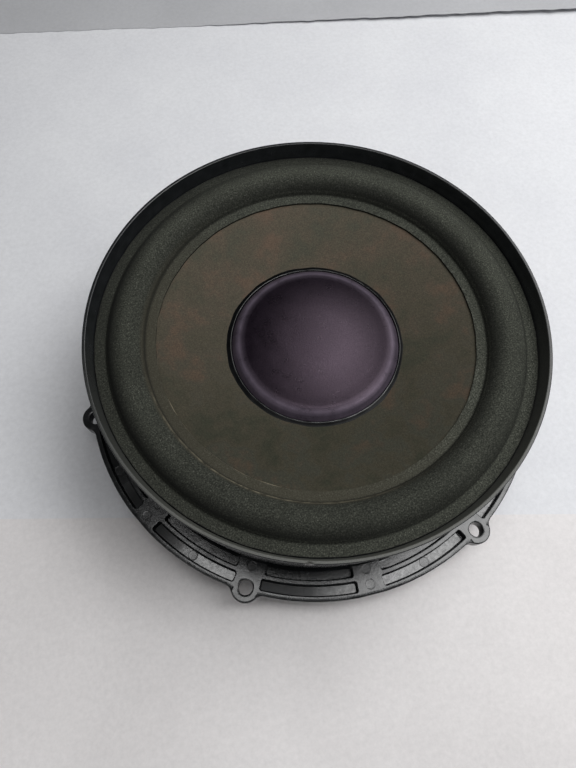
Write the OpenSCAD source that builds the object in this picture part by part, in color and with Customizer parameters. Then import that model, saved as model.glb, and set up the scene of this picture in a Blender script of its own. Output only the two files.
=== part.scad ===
// Car door speaker: a moving-coil woofer in one deep moulded basket with six mounting ears.
// Millimetres. The origin is the middle of the flange's rear seating face, +Z points out of the cone
// and +X runs through the middle of one ear.

/* [Flange] */
// Diameter of the circle through the ear holes
ear_pcd = 218; // [216:0.5:222]
// How far the flange's edge lies outside that circle
flange_out = 1.7; // [0.5:0.1:3]
// Thickness of the flange
flange_t = 6.5; // [5.5:0.1:9]
// Number of ears, evenly spaced
ear_count = 6; // [4:1:8]
// Diameter of the hole in each ear
ear_hole_d = 6.5; // [4:0.1:8]
// Radius of an ear's round end
ear_r = 6.6; // [5.8:0.1:8]
// Radius of the hollow that blends an ear into the flange
ear_flare_r = 4.6; // [3:0.1:7]

/* [Flange pockets] */
// Pockets in each row between one ear and the next
pockets_per_ear = 2; // [1:1:3]
// Depth of the pockets, open to the front
pocket_depth = 4.3; // [2:0.1:4.6]
// Width of the wall outside the outer row
edge_wall_w = 2.3; // [1.5:0.1:3]
// Width of the outer row of pockets
outer_pocket_w = 4.7; // [3.5:0.1:5.2]
// Width of the round rib between the two rows
mid_rib_w = 2.1; // [1.2:0.1:2.6]
// Width of the inner row of pockets
inner_pocket_w = 4.6; // [3.5:0.1:4.9]
// Web between two outer pockets, along the arc
outer_web_w = 11.9; // [8:0.1:16]
// Web between two inner pockets, along the arc
inner_web_w = 12.8; // [8:0.1:16]
// Corner radius of the pockets
pocket_corner_r = 1; // [0.5:0.1:1.6]

/* [Collar and rim] */
// Height of the rim above the flange's front face
collar_h = 53; // [50:0.5:60]
// Outer radius of the rim
rim_r = 100; // [99:0.1:102]
// Width of the rim's flat top
rim_w = 1.5; // [1.2:0.1:2]
// Edge round of the rim
rim_round = 0.4; // [0.2:0.1:0.6]
// Outer radius of the collar where it meets the flange
foot_r = 96.2; // [95:0.1:96.6]
// Inner radius of the collar at the foam ledge
mouth_r = 97; // [96.7:0.1:97.4]
// Wall of the collar below the ledge
wall_t = 2.4; // [1.8:0.1:3]
// Depth of the foam ledge below the rim
ledge_drop = 8.4; // [6:0.1:10]
// Inner radius of the foam ledge
ledge_r = 89.5; // [88.5:0.1:90.5]
// Thickness of the foam ledge
ledge_t = 2.5; // [1.8:0.1:3.5]

/* [Back of the basket] */
// Width of each spoke
spoke_w = 18; // [12:0.5:22]
// Thickness of the spokes and the hub plate
spoke_t = 2.5; // [2:0.1:3]
// Step from the hub's rear face to the spokes' rear faces
spoke_step = 0.8; // [0.5:0.1:1.2]
// Thickness of the ribs that stand on a spoke
spoke_rib_t = 2.2; // [1.6:0.1:3]
// Height of the low ribs along a spoke's edges
edge_rib_h = 5; // [3:0.1:7]
// Height of the middle rib where it meets the collar
mid_rib_h = 24; // [18:0.5:28]
// Radius of the opening in the hub plate
hub_bore_r = 27; // [24:0.5:31]
// Height of the spider seat above the flange's rear face
seat_z = 20.5; // [20:0.1:22]
// Outer radius of the spider seat
seat_r = 55.5; // [54:0.1:58]
// Width of the spider seat
seat_w = 6.5; // [5.5:0.1:7.5]
// Thickness of the seat's ledge
seat_t = 2; // [1.5:0.1:2.5]
// Width of each vent in the wall under the spider seat
seat_vent_w = 16; // [8:0.5:20]
// Height of each vent in the wall under the spider seat
seat_vent_h = 4; // [3:0.1:5]

/* [Gasket] */
// Distance from the flange's edge in to the gasket channel's outer side
gasket_in = 7.5; // [7:0.1:9]
// Width of the gasket
gasket_w = 4.6; // [3:0.1:5.2]
// Thickness of the gasket, pressed flush
gasket_t = 1.2; // [0.8:0.1:1.4]

/* [Surround] */
// Thickness of the foam
foam_t = 1; // [0.7:0.1:1.2]
// Outer radius of the foam's glued ring
foam_ring_r = 96.5; // [95.5:0.1:96.6]
// Outer radius of the roll
roll_outer_r = 91; // [90.8:0.1:92]
// Inner radius of the roll
roll_inner_r = 76.1; // [75:0.1:77.5]
// Height of the roll above its two edges
roll_h = 7; // [4:0.1:7.4]
// Inner radius of the lip glued on the cone
lip_r = 70.8; // [69.5:0.1:72]
// Width of the fold between the roll and its flat edges
fold_w = 0.8; // [0.4:0.1:1.2]

/* [Cone] */
// Outer radius of the cone
cone_r = 76; // [75:0.1:77]
// Depth of the cone's edge below the foam ledge
cone_sink = 2.3; // [1.5:0.1:4]
// Fall of the cone's flat rim towards its inner side
cone_rim_fall = 0.5; // [0:0.1:1]
// Width of the cone's flat rim
cone_rim_w = 5.6; // [5:0.1:6.5]
// Slope of the cone, in degrees
cone_angle = 16; // [14:0.5:18]
// Thickness of the paper
cone_t = 0.8; // [0.5:0.1:1]
// Length of the neck glued round the coil former
neck_l = 3; // [2:0.1:4]
// Width of the glue ring between the cone and the former
neck_glue_w = 2; // [1:0.1:3]

/* [Dust cap] */
// Radius where the cap stands on the cone
cap_r = 38.3; // [36:0.1:40]
// Height of the cap's shoulder above its foot
shoulder_h = 3; // [2:0.1:4]
// Distance from the foot in to the top of the shoulder
shoulder_in = 3.4; // [2.6:0.1:4.5]
// Radius of the round top of the shoulder
shoulder_r = 1.5; // [1:0.1:2]
// Height of the dome above the shoulder
dome_h = 3.6; // [2:0.1:5]
// Depth of the dome's edge below the top of the shoulder
dome_step = 0.3; // [0:0.1:0.6]
// Thickness of the cap
cap_t = 0.7; // [0.5:0.1:0.8]
// Width of the glue bead outside the cap
bead_w = 1.6; // [1:0.1:2.4]
// Height of the glue bead
bead_h = 0.9; // [0.6:0.1:1.4]

/* [Voice coil] */
// Inner radius of the coil former
former_r = 19; // [18:0.1:20]
// Thickness of the coil former
former_t = 0.3; // [0.2:0.05:0.4]
// Thickness of the winding, two layers of wire
winding_t = 0.8; // [0.5:0.05:1]
// Height of the winding
winding_h = 14; // [12:0.5:15]
// Length of former below the winding
former_tail = 1.5; // [1:0.1:2.5]
// Length of former above the top of the cone's neck
former_head = 3; // [2:0.1:4]
// Length of paper band above the top of the cone's neck
band_head = 2; // [1:0.1:3]
// Thickness of the paper band round the former
band_t = 0.4; // [0.3:0.05:0.6]
// Space between the paper band and the spider's neck
spider_gap = 0.3; // [0.3:0.05:0.5]

/* [Spider] */
// Thickness of the spider's cloth
spider_t = 0.6; // [0.4:0.05:0.8]
// Distance of the spider's edge inside the seat's edge
spider_edge_in = 0.7; // [0.4:0.1:1.5]
// Space between the last wave and the seat's inner edge
spider_wave_gap = 0.6; // [0.4:0.1:1]
// Number of waves in the spider
spider_waves = 5; // [3:1:6]
// Height of a wave from its middle line
spider_wave_h = 1.4; // [0.8:0.1:1.8]
// Height of the spider's neck
spider_neck_h = 3; // [2:0.1:3.5]
// Width of the flat between the spider's neck and its first wave
spider_flat_w = 2; // [1:0.1:3]

/* [Motor] */
// Height of the top plate's front face above the flange's rear face
motor_z = 10; // [9.5:0.1:11]
// Outer radius of the top plate
top_plate_r = 47.5; // [46:0.1:48]
// Thickness of the top plate
top_plate_t = 5; // [4.5:0.1:6]
// Outer radius of the magnet
magnet_r = 50; // [49:0.1:52]
// Radius of the magnet's hole
magnet_bore_r = 24; // [22:0.1:26]
// Thickness of the magnet
magnet_t = 17; // [15:0.5:20]
// Outer radius of the back plate
back_plate_r = 47.5; // [46:0.1:49]
// Thickness of the back plate
back_plate_t = 6; // [5:0.1:7]
// Space between the pole and the former
pole_gap = 0.4; // [0.3:0.05:0.6]
// Space between the winding and the top plate
plate_gap = 0.6; // [0.4:0.05:0.8]
// Height of the pole above the top plate
pole_rise = 1; // [0:0.1:3]
// Radius of the pole's spigot in the back plate
spigot_r = 14; // [12:0.1:16]
// Radius of the vent through the pole
vent_r = 7; // [5:0.1:9]
// Space between the top plate and the skirt that locates it
skirt_gap = 0.3; // [0.1:0.05:0.5]
// Wall of the skirt
skirt_t = 2.2; // [1.6:0.1:2.6]

/* [Motor screws] */
// Number of screws
screw_count = 6; // [3:1:8]
// Radius of the circle through the screws
screw_circle_r = 40; // [38:0.5:42]
// Thread diameter of the screws
screw_d = 4; // [3:0.1:5]
// Head diameter of the screws
screw_head_d = 7.2; // [6:0.1:8]
// Head height of the screws
screw_head_h = 2.2; // [1.8:0.1:2.4]
// Depth of thread in the top plate
screw_grip = 4; // [3:0.1:4.4]
// Width of the cross in a screw head
cross_w = 0.9; // [0.6:0.1:1.2]
// Depth of the cross in a screw head
cross_depth = 1.5; // [1:0.1:1.8]

/* [Connector] */
// Distance of the socket's middle from the collar's inner wall
socket_in = 10.8; // [10:0.1:13]
// Outer width of the socket
socket_w = 22; // [20:0.5:24]
// Outer depth of the socket, towards the axis
socket_d = 13; // [12:0.1:14]
// Length of the socket below the basket's plate
socket_l = 12; // [10:0.5:14]
// Wall of the socket
socket_wall = 1.6; // [1.2:0.1:2]
// Floor between the socket and the inside
socket_floor = 2.4; // [1.8:0.1:3]
// Width of the lip that rests on the basket's plate
socket_lip = 2; // [1.5:0.1:2.5]
// Space between the socket and the hole in the plate
socket_gap = 0.2; // [0.1:0.05:0.4]
// Width of the slot that keys the plug
key_w = 3; // [2:0.1:4]
// Length of the slot that keys the plug
key_l = 6; // [4:0.5:8]
// How far the snap lugs stand out under the plate
lug_out = 1.2; // [0.8:0.1:1.6]
// Height of the snap lugs
lug_h = 3; // [2:0.1:4]
// Width of the snap lugs
lug_w = 6; // [4:0.5:8]
// Edge of the plate round the socket's lip
plate_edge = 2.5; // [1.5:0.1:4]

/* [Terminals] */
// Distance between the two blades
blade_pitch = 8.4; // [7.6:0.1:10]
// Thickness of the brass
blade_t = 0.8; // [0.6:0.05:1]
// Width of a blade
blade_w = 4.8; // [4:0.1:6.3]
// Length of a blade in the socket
blade_l = 8; // [6:0.5:9]
// Width of the chamfer at a blade's tip
blade_tip = 1.2; // [0.8:0.1:1.6]
// Width of the solder tab inside
tab_w = 6.4; // [6:0.1:8]
// Height of the solder tab above the socket's floor
tab_h = 8; // [7:0.1:9]
// Diameter of the hole in the solder tab
tab_hole_d = 1.8; // [1.2:0.1:2.4]

/* [Leads] */
// Radius of a braided lead
lead_r = 0.9; // [0.6:0.05:1.1]
// Radius of the glue dab that holds a lead on the cone
dab_r = 3.4; // [2.5:0.1:4.5]
// Depth of the glue dab below the cone
dab_t = 2; // [1.4:0.1:2.2]
// Distance of a dab from the middle plane of the connector
dab_x = 11; // [10:0.5:13]
// Distance of a dab from the speaker's axis, towards the connector
dab_y = 45.6; // [42:0.1:50]
// Space between a lead's end and its dab
lead_gap = 0.3; // [0.2:0.05:0.5]

/* [Hidden] */

$fn = 96;
// Overlap of a cut past the face that it opens
cut = 1;

// Basket
flange_r = ear_pcd / 2 + flange_out;
gasket_r = flange_r - gasket_in - gasket_w;
rim_z = flange_t + collar_h;
ledge_z = rim_z - ledge_drop;
wall_r = foot_r - wall_t;
wall_lean = (rim_r - foot_r) / collar_h;
hub_z = motor_z + spoke_t;
ear_pitch = 360 / ear_count;

// Rows of pockets, from the outside in
outer_row_r = flange_r - edge_wall_w;
inner_row_r = outer_row_r - outer_pocket_w - mid_rib_w;
pocket_pitch = ear_pitch / pockets_per_ear;

// Angle of the hollow beside an ear, from the triangle of flange, ear and hollow centres
flare_reach = flange_r + ear_flare_r;
flare_angle = acos((pow(ear_pcd / 2, 2) + pow(flare_reach, 2) - pow(ear_r + ear_flare_r, 2))
                   / (ear_pcd * flare_reach));

// Cone and dust cap
cone_z = ledge_z - cone_sink;
bowl_r = cone_r - cone_rim_w;
bowl_z = cone_z - cone_rim_fall;
cone_t_z = cone_t / cos(cone_angle);
cap_z = cone_top(cap_r);
shoulder_x = cap_r - shoulder_in;
dome_r = (pow(shoulder_x, 2) + pow(dome_h, 2)) / (2 * dome_h);

// Directions in which the shoulder's round starts and ends
shoulder_from = 35;
shoulder_to = 110;

// Voice coil, from the former out
former_out_r = former_r + former_t;
band_r = former_out_r + band_t;
winding_r = former_out_r + winding_t;
winding_z = motor_z - top_plate_t / 2 - winding_h / 2;
former_z = winding_z - former_tail;
neck_z = cone_top(band_r);
band_z = seat_z - spider_wave_h;

// Motor
pole_r = former_r - pole_gap;
plate_bore_r = winding_r + plate_gap;
magnet_z = motor_z - top_plate_t - magnet_t;
back_z = magnet_z - back_plate_t;

// Spider
spider_r = seat_r - spider_edge_in;
spider_mid_z = seat_z + spider_t / 2;
spider_in_r = band_r + spider_gap;
wave_start_r = spider_in_r + spider_t + spider_flat_w;
wave_end_r = seat_r - seat_w - spider_wave_gap;
wave_l = (wave_end_r - wave_start_r) / spider_waves;

// Glue line under the surround's lip, which lies between two moving bodies
glue_line = 0.15;

// Connector
socket_y = wall_r - socket_in;
socket_in_w = socket_w - 2 * socket_wall;
socket_in_d = socket_d - 2 * socket_wall;
floor_z = spoke_t + socket_lip;
lug_gap = 0.1;
tab_hole_z = floor_z + tab_h - tab_w / 2;

// Positive lead, from the tab's outer face to the dab under the cone: shares of the way from start to end
dab_z = cone_top(norm([dab_x, dab_y])) - cone_t_z;
lead_start = [blade_pitch / 2 + blade_t / 2 + lead_gap / 3, socket_y, tab_hole_z];
lead_end = [dab_x, dab_y + lead_r, dab_z - dab_t - lead_r - lead_gap];
lead_shares = [[0, 0, 0], [0.24, 0, 0], [0.51, 0.01, 0.02], [0.76, 0.04, 0.05], [0.94, 0.1, 0.11],
               [1.05, 0.17, 0.19], [1.13, 0.25, 0.28], [1.17, 0.34, 0.36], [1.21, 0.43, 0.44],
               [1.22, 0.53, 0.52], [1.22, 0.62, 0.62], [1.21, 0.7, 0.72], [1.17, 0.78, 0.81],
               [1.13, 0.86, 0.9], [1.06, 0.94, 0.96], [1, 1, 1]];
lead_route = [for (share = lead_shares)
                 [for (k = [0:2]) lead_start[k] + share[k] * (lead_end[k] - lead_start[k])]];
lead_sides = 8;

// Height of the cone's front face at a radius inside its flat rim
function cone_top(r) = bowl_z - (bowl_r - r) * tan(cone_angle);

// Points on an arc about a centre, from one angle to another
function arc(centre, r, from, to, steps) =
    [for (i = [0:steps]) let (a = from + (to - from) * i / steps) centre + r * [cos(a), sin(a)]];

// Points on an arc from one point to another that rises this high over the chord between them
function arch(from, to, rise) =
    let (chord = to - from, half_chord = norm(chord) / 2, tilt = atan(chord.y / chord.x),
         r = (pow(half_chord, 2) + pow(rise, 2)) / (2 * rise), sweep = sign(chord.x) * 2 * atan(rise / half_chord))
    arc((from + to) / 2 - (r - rise) * [-sin(tilt), cos(tilt)], r, 90 + tilt + sweep, 90 + tilt - sweep, 24);

// Points of a list without its two ends
function middle(points) = [for (i = [1:len(points) - 2]) points[i]];

function polar(r, angle) = r * [cos(angle), sin(angle)];

// A flat point turned about the axis
function turn(p, angle) = [p.x * cos(angle) - p.y * sin(angle), p.x * sin(angle) + p.y * cos(angle)];

function unit(v) = v / norm(v);

// Direction of a route at one of its points
function heading(route, i) = unit(route[min(i + 1, len(route) - 1)] - route[max(i - 1, 0)]);

// Ring of points square to a route
function ring(at, along, r, sides) =
    let (side = unit(cross(along, [0, 0, 1])), up = cross(side, along))
    [for (k = [0:sides - 1]) at + r * (cos(360 * k / sides) * side + sin(360 * k / sides) * up)];

// Round tube along a route
module tube(route, r, sides) {
    points = [for (i = [0:len(route) - 1]) each ring(route[i], heading(route, i), r, sides)];
    last = sides * (len(route) - 1);
    walls = [for (i = [0:len(route) - 2], k = [0:sides - 1])
                let (a = i * sides + k, b = i * sides + (k + 1) % sides)
                each [[a, b, b + sides], [a, b + sides, a + sides]]];
    near_end = [for (k = [1:sides - 2]) [0, k + 1, k]];
    far_end = [for (k = [1:sides - 2]) [last, last + k, last + k + 1]];
    polyhedron(points, concat(walls, near_end, far_end));
}

// Flat ring between two radii
module washer(outer_r, inner_r, z, h) {
    translate([0, 0, z])
        linear_extrude(h)
            difference() {
                circle(outer_r);
                circle(inner_r);
            }
}

// Copies turned evenly about the axis
module around(count, first = 0) {
    for (k = [0:count - 1]) rotate(first + 360 * k / count) children();
}

// Outline of the flange from the middle of one ear to the next: ear end, hollow, flange edge, hollow
function ear_outline() =
    let (ear = [ear_pcd / 2, 0],
         flare = polar(flare_reach, flare_angle),
         next_flare = polar(flare_reach, ear_pitch - flare_angle),
         ear_half = atan2(flare.y, flare.x - ear.x))
    concat(arc(ear, ear_r, -ear_half, ear_half, 16),
           middle(arc(flare, ear_flare_r, ear_half + 180, flare_angle + 180, 6)),
           arc([0, 0], flange_r, flare_angle, ear_pitch - flare_angle, 28),
           middle(arc(next_flare, ear_flare_r, ear_pitch - flare_angle + 180, ear_pitch - ear_half + 180, 6)));

// Outline of a pocket with round corners between two radii, centred on +X
function pocket_outline(outer_r, w, web_w) =
    let (inner_r = outer_r - w,
         half = pocket_pitch / 2 - (web_w / 2) / (outer_r - w / 2) * 180 / PI,
         outer_corner_r = outer_r - pocket_corner_r,
         inner_corner_r = inner_r + pocket_corner_r,
         outer_half = half - asin(pocket_corner_r / outer_corner_r),
         inner_half = half - asin(pocket_corner_r / inner_corner_r))
    concat(middle(arc([0, 0], outer_r, -outer_half, outer_half, 10)),
           arc(polar(outer_corner_r, outer_half), pocket_corner_r, outer_half, half + 90, 4),
           arc(polar(inner_corner_r, inner_half), pocket_corner_r, half + 90, inner_half + 180, 4),
           middle(arc([0, 0], inner_r, inner_half, -inner_half, 10)),
           arc(polar(inner_corner_r, -inner_half), pocket_corner_r, 180 - inner_half, 270 - half, 4),
           arc(polar(outer_corner_r, -outer_half), pocket_corner_r, 270 - half, 360 - outer_half, 4));

module pocket(outer_r, w, web_w) {
    linear_extrude(pocket_depth + cut) polygon(pocket_outline(outer_r, w, web_w));
}

module pockets() {
    translate([0, 0, flange_t - pocket_depth])
        around(ear_count * pockets_per_ear, pocket_pitch / 2) {
            pocket(outer_row_r, outer_pocket_w, outer_web_w);
            pocket(inner_row_r, inner_pocket_w, inner_web_w);
        }
}

module flange() {
    outline = ear_outline();
    difference() {
        linear_extrude(flange_t)
            polygon([for (k = [0:ear_count - 1], p = outline) turn(p, k * ear_pitch)]);
        translate([0, 0, -cut]) cylinder(r = wall_r, h = flange_t + 2 * cut);
    }
}

// Collar wall with the rim and the foam ledge
module collar() {
    shelf_z = ledge_z - ledge_t;
    shelf_wall_r = wall_r + (shelf_z - flange_t) * wall_lean;
    rotate_extrude()
        polygon(concat(
            [[wall_r, 0], [foot_r, 0], [foot_r, flange_t]],
            arc([rim_r - rim_round, rim_z - rim_round], rim_round, 0, 90, 4),
            arc([rim_r - rim_w + rim_round, rim_z - rim_round], rim_round, 90, 180, 4),
            [[mouth_r, ledge_z], [ledge_r, ledge_z], [ledge_r, shelf_z], [shelf_wall_r, shelf_z],
             [wall_r, flange_t]]));
}

// Hub plate, skirt round the top plate and spider seat
module hub() {
    seat_wall_r = seat_r - spoke_t;
    skirt_r = top_plate_r + skirt_gap;
    difference() {
        rotate_extrude()
            polygon([[hub_bore_r, motor_z], [skirt_r, motor_z], [skirt_r, motor_z - top_plate_t + skirt_gap],
                     [skirt_r + skirt_t, motor_z - top_plate_t + skirt_gap], [skirt_r + skirt_t, motor_z],
                     [seat_r, motor_z], [seat_r, seat_z], [seat_r - seat_w, seat_z],
                     [seat_r - seat_w, seat_z - seat_t], [seat_wall_r, seat_z - seat_t],
                     [seat_wall_r, hub_z], [hub_bore_r, hub_z]]);
        around(ear_count, ear_pitch / 2)
            translate([seat_wall_r - cut, -seat_vent_w / 2, hub_z])
                cube([spoke_t + 2 * cut, seat_vent_w, seat_vent_h]);
        around(screw_count, 180 / screw_count)
            translate([screw_circle_r, 0, motor_z - cut])
                cylinder(d = screw_d, h = spoke_t + 2 * cut);
    }
}

// Upright plate whose outline is drawn in radius and height
module upright(outline, w) {
    rotate([90, 0, 0]) linear_extrude(w, center = true) polygon(outline);
}

// Sloping spoke from the hub to the collar, with a middle rib and two edge ribs
module spoke() {
    root_r = seat_r - spoke_t / 2;
    end_r = wall_r + wall_t / 3;
    back = [[root_r, motor_z + spoke_step], [end_r, 0]];
    upright(concat(back, [[end_r, spoke_t], [root_r, hub_z]]), spoke_w);
    upright(concat(back, [[end_r, flange_t], [end_r + (mid_rib_h - flange_t) * wall_lean, mid_rib_h],
                          [root_r, seat_z]]), spoke_rib_t);
    for (side = [1, -1])
        translate([0, side * (spoke_w - spoke_rib_t) / 2, 0])
            upright(concat(back, [[end_r, spoke_t + edge_rib_h], [root_r, hub_z + edge_rib_h / 2]]), spoke_rib_t);
}

// Plate that carries the connector, between two spokes
module connector_plate() {
    half_w = socket_w / 2 + socket_lip + plate_edge;
    near_y = socket_y - socket_d / 2 - socket_lip - plate_edge;
    translate([-half_w, near_y, 0]) cube([2 * half_w, foot_r - wall_t / 2 - near_y, spoke_t]);
    for (side = [1, -1])
        translate([side * half_w - spoke_rib_t / 2, near_y, 0])
            cube([spoke_rib_t, wall_r - near_y, spoke_t + edge_rib_h]);
}

module basket() color([0.07, 0.08, 0.09]) {
    difference() {
        union() {
            flange();
            collar();
            hub();
            around(ear_count) spoke();
            intersection() {
                connector_plate();
                cylinder(r = foot_r - wall_t / 2, h = rim_z);
            }
        }
        pockets();
        around(ear_count)
            translate([ear_pcd / 2, 0, -cut]) cylinder(d = ear_hole_d, h = flange_t + 2 * cut);
        washer(gasket_r + gasket_w, gasket_r, -cut, gasket_t + cut);
        translate([-socket_w / 2 - socket_gap, socket_y - socket_d / 2 - socket_gap, -cut])
            cube([socket_w + 2 * socket_gap, socket_d + 2 * socket_gap, spoke_t + 2 * cut]);
    }
}

module mounting_gasket() color([0.14, 0.14, 0.14]) washer(gasket_r + gasket_w, gasket_r, 0, gasket_t);

// Foam roll in section: a glued ring, a half-round roll and a lip on the cone
module surround() color([0.22, 0.23, 0.21]) {
    lip_z = cone_z + glue_line;
    outer_edge = [roll_outer_r, ledge_z];
    inner_edge = [roll_inner_r, lip_z];
    inner_fold = inner_edge + [-fold_w, foam_t];
    outer_fold = outer_edge + [fold_w, foam_t];
    lip_in = [lip_r, bowl_z + glue_line];
    rotate_extrude()
        polygon(concat(
            [[foam_ring_r, ledge_z]], arch(outer_edge, inner_edge, roll_h - foam_t),
            [lip_in, lip_in + [0, foam_t]], arch(inner_fold, outer_fold, roll_h - foam_t),
            [[foam_ring_r, ledge_z + foam_t]]));
}

module cone() color([0.3, 0.28, 0.24]) {
    rotate_extrude()
        polygon([[cone_r, cone_z], [bowl_r, bowl_z], [band_r + cone_t, cone_top(band_r + cone_t)],
                 [band_r, neck_z], [band_r, neck_z - neck_l], [band_r + cone_t, neck_z - neck_l],
                 [band_r + cone_t, cone_top(band_r + cone_t) - cone_t_z], [bowl_r, bowl_z - cone_t_z],
                 [cone_r, cone_z - cone_t]]);
}

// Cap in section: foot on the cone, steep wall, round shoulder and a low dome
module dust_cap() color([0.3, 0.26, 0.31]) {
    top = cap_z + shoulder_h;
    dome_edge = [shoulder_x - shoulder_r, top - dome_step];
    dome_centre = [0, dome_edge.y + dome_h - dome_r];
    half = asin(dome_edge.x / dome_r);
    foot_in = cap_r - cap_t;
    rotate_extrude()
        polygon(concat(
            [[foot_in, cone_top(foot_in)], [cap_r, cap_z]],
            arc([shoulder_x, top - shoulder_r], shoulder_r, shoulder_from, shoulder_to, 8),
            arc(dome_centre, dome_r, 90 - half, 90, 12),
            arc(dome_centre, dome_r - cap_t, 90, 90 - half, 12),
            arc([shoulder_x, top - shoulder_r], shoulder_r - cap_t, shoulder_to, shoulder_from, 8)));
}

// Bead of glue between the cap's foot and the cone
module dust_cap_glue() color([0.03, 0.03, 0.03]) {
    shoulder_start = [shoulder_x, shoulder_h - shoulder_r] + polar(shoulder_r, shoulder_from);
    on_wall = [cap_r, cap_z] + bead_h * unit(shoulder_start - [cap_r, 0]);
    rotate_extrude()
        polygon(concat(
            [[cap_r, cap_z]],
            [for (a = [0:15:75]) let (r = cap_r + bead_w * cos(a)) [r, cone_top(r) + bead_h * sin(a)]],
            [on_wall]));
}

module neck_glue() color([0.5, 0.4, 0.2]) {
    outer = band_r + neck_glue_w;
    rotate_extrude() polygon([[band_r, neck_z], [outer, cone_top(outer)], [band_r, neck_z + neck_glue_w]]);
}

module coil_former() color([0.75, 0.6, 0.35])
    washer(former_out_r, former_r, former_z, neck_z + former_head - former_z);

module former_collar() color([0.35, 0.28, 0.2])
    washer(band_r, former_out_r, band_z, neck_z + band_head - band_z);

module voice_coil() color([0.7, 0.35, 0.18]) washer(winding_r, former_out_r, winding_z, winding_h);

// Corrugated disc: an even wave between a turned-up neck and a flat edge
module spider() color([0.6, 0.5, 0.25]) {
    steps = 8 * spider_waves;
    wave = [for (i = [0:steps]) let (r = wave_start_r + (wave_end_r - wave_start_r) * i / steps)
               [r, spider_mid_z + spider_wave_h * sin(360 * (r - wave_start_r) / wave_l)]];
    half_t = spider_t / 2;
    rotate_extrude()
        polygon(concat(
            [[spider_in_r, spider_mid_z - half_t]],
            [for (p = wave) p - [0, half_t]],
            [[spider_r, seat_z], [spider_r, seat_z + spider_t]],
            [for (i = [steps:-1:0]) wave[i] + [0, half_t]],
            [[spider_in_r + spider_t, spider_mid_z + half_t],
             [spider_in_r + spider_t, spider_mid_z + spider_neck_h],
             [spider_in_r, spider_mid_z + spider_neck_h]]));
}

module top_plate() color([0.55, 0.55, 0.52])
    difference() {
        washer(top_plate_r, plate_bore_r, motor_z - top_plate_t, top_plate_t);
        around(screw_count, 180 / screw_count)
            translate([screw_circle_r, 0, motor_z - screw_grip]) cylinder(d = screw_d, h = screw_grip + cut);
    }

module magnet() color([0.16, 0.16, 0.17]) washer(magnet_r, magnet_bore_r, magnet_z, magnet_t);

module back_plate() color([0.55, 0.55, 0.52]) washer(back_plate_r, spigot_r, back_z, back_plate_t);

module pole_piece() color([0.5, 0.5, 0.48])
    difference() {
        union() {
            translate([0, 0, magnet_z]) cylinder(r = pole_r, h = motor_z + pole_rise - magnet_z);
            translate([0, 0, back_z]) cylinder(r = spigot_r, h = back_plate_t + cut);
        }
        translate([0, 0, back_z - cut]) cylinder(r = vent_r, h = motor_z + pole_rise - back_z + 2 * cut);
    }

module motor_screws() color([0.7, 0.7, 0.7])
    around(screw_count, 180 / screw_count)
        translate([screw_circle_r, 0, hub_z])
            difference() {
                union() {
                    cylinder(d = screw_head_d, h = screw_head_h);
                    translate([0, 0, -spoke_t - screw_grip]) cylinder(d = screw_d, h = spoke_t + screw_grip + cut);
                }
                for (turn = [0, 90])
                    rotate(turn)
                        translate([-screw_d / 2, -cross_w / 2, screw_head_h - cross_depth])
                            cube([screw_d, cross_w, screw_head_h]);
            }

// Socket for the plug: open below, with a lip on the plate, a keying slot and two snap lugs
module connector_housing() color([0.25, 0.25, 0.26])
    translate([0, socket_y, 0]) {
        difference() {
            union() {
                translate([-socket_w / 2, -socket_d / 2, -socket_l]) cube([socket_w, socket_d, socket_l + floor_z]);
                translate([-socket_w / 2 - socket_lip, -socket_d / 2 - socket_lip, spoke_t])
                    cube([socket_w + 2 * socket_lip, socket_d + 2 * socket_lip, socket_lip]);
            }
            translate([-socket_in_w / 2, -socket_in_d / 2, -socket_l - cut])
                cube([socket_in_w, socket_in_d, socket_l + floor_z - socket_floor + cut]);
            translate([-key_w / 2, socket_in_d / 2 - cut, -socket_l - cut])
                cube([key_w, socket_wall + 2 * cut, key_l + cut]);
            for (side = [1, -1])
                translate([side * blade_pitch / 2 - blade_t / 2, -blade_w / 2, 0])
                    cube([blade_t, blade_w, floor_z + cut]);
        }
        for (side = [1, -1])
            mirrored(side)
                translate([socket_w / 2, 0, -lug_gap])
                    rotate([90, 0, 0])
                        linear_extrude(lug_w, center = true)
                            polygon([[-socket_wall / 2, 0], [lug_out, 0], [0, -lug_h], [-socket_wall / 2, -lug_h]]);
    }

// Mirror image in X for the side -1
module mirrored(side) {
    if (side > 0) children();
    else mirror([1, 0, 0]) children();
}

// Flat brass blade with a pointed tip below and a round-ended solder tab above the socket's floor
module terminal(side) color([0.8, 0.65, 0.3]) {
    tip_z = floor_z - socket_floor - blade_l;
    translate([side * blade_pitch / 2, socket_y, 0])
        rotate([90, 0, 90])
            linear_extrude(blade_t, center = true)
                difference() {
                    union() {
                        polygon([[-blade_w / 2 + blade_tip, tip_z], [blade_w / 2 - blade_tip, tip_z],
                                 [blade_w / 2, tip_z + 2 * blade_tip], [blade_w / 2, floor_z], [tab_w / 2, floor_z],
                                 [tab_w / 2, tab_hole_z], [-tab_w / 2, tab_hole_z], [-tab_w / 2, floor_z],
                                 [-blade_w / 2, floor_z], [-blade_w / 2, tip_z + 2 * blade_tip]]);
                        translate([0, tab_hole_z]) circle(tab_w / 2);
                    }
                    translate([0, tab_hole_z]) circle(d = tab_hole_d);
                }
}

module terminal_positive() terminal(1);

module terminal_negative() terminal(-1);

module lead_positive() color([0.6, 0.45, 0.3]) tube(lead_route, lead_r, lead_sides);

module lead_negative() mirror([1, 0, 0]) lead_positive();

// Round dabs under the cone, cut to its back face
module lead_anchors() color([0.05, 0.05, 0.05])
    for (side = [1, -1])
        intersection() {
            translate([side * dab_x, dab_y, dab_z - dab_t]) cylinder(r = dab_r, h = dab_t + dab_r);
            rotate_extrude()
                polygon([[band_r, 0], [bowl_r, 0], [bowl_r, bowl_z - cone_t_z], [band_r, neck_z - cone_t_z]]);
        }

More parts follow.
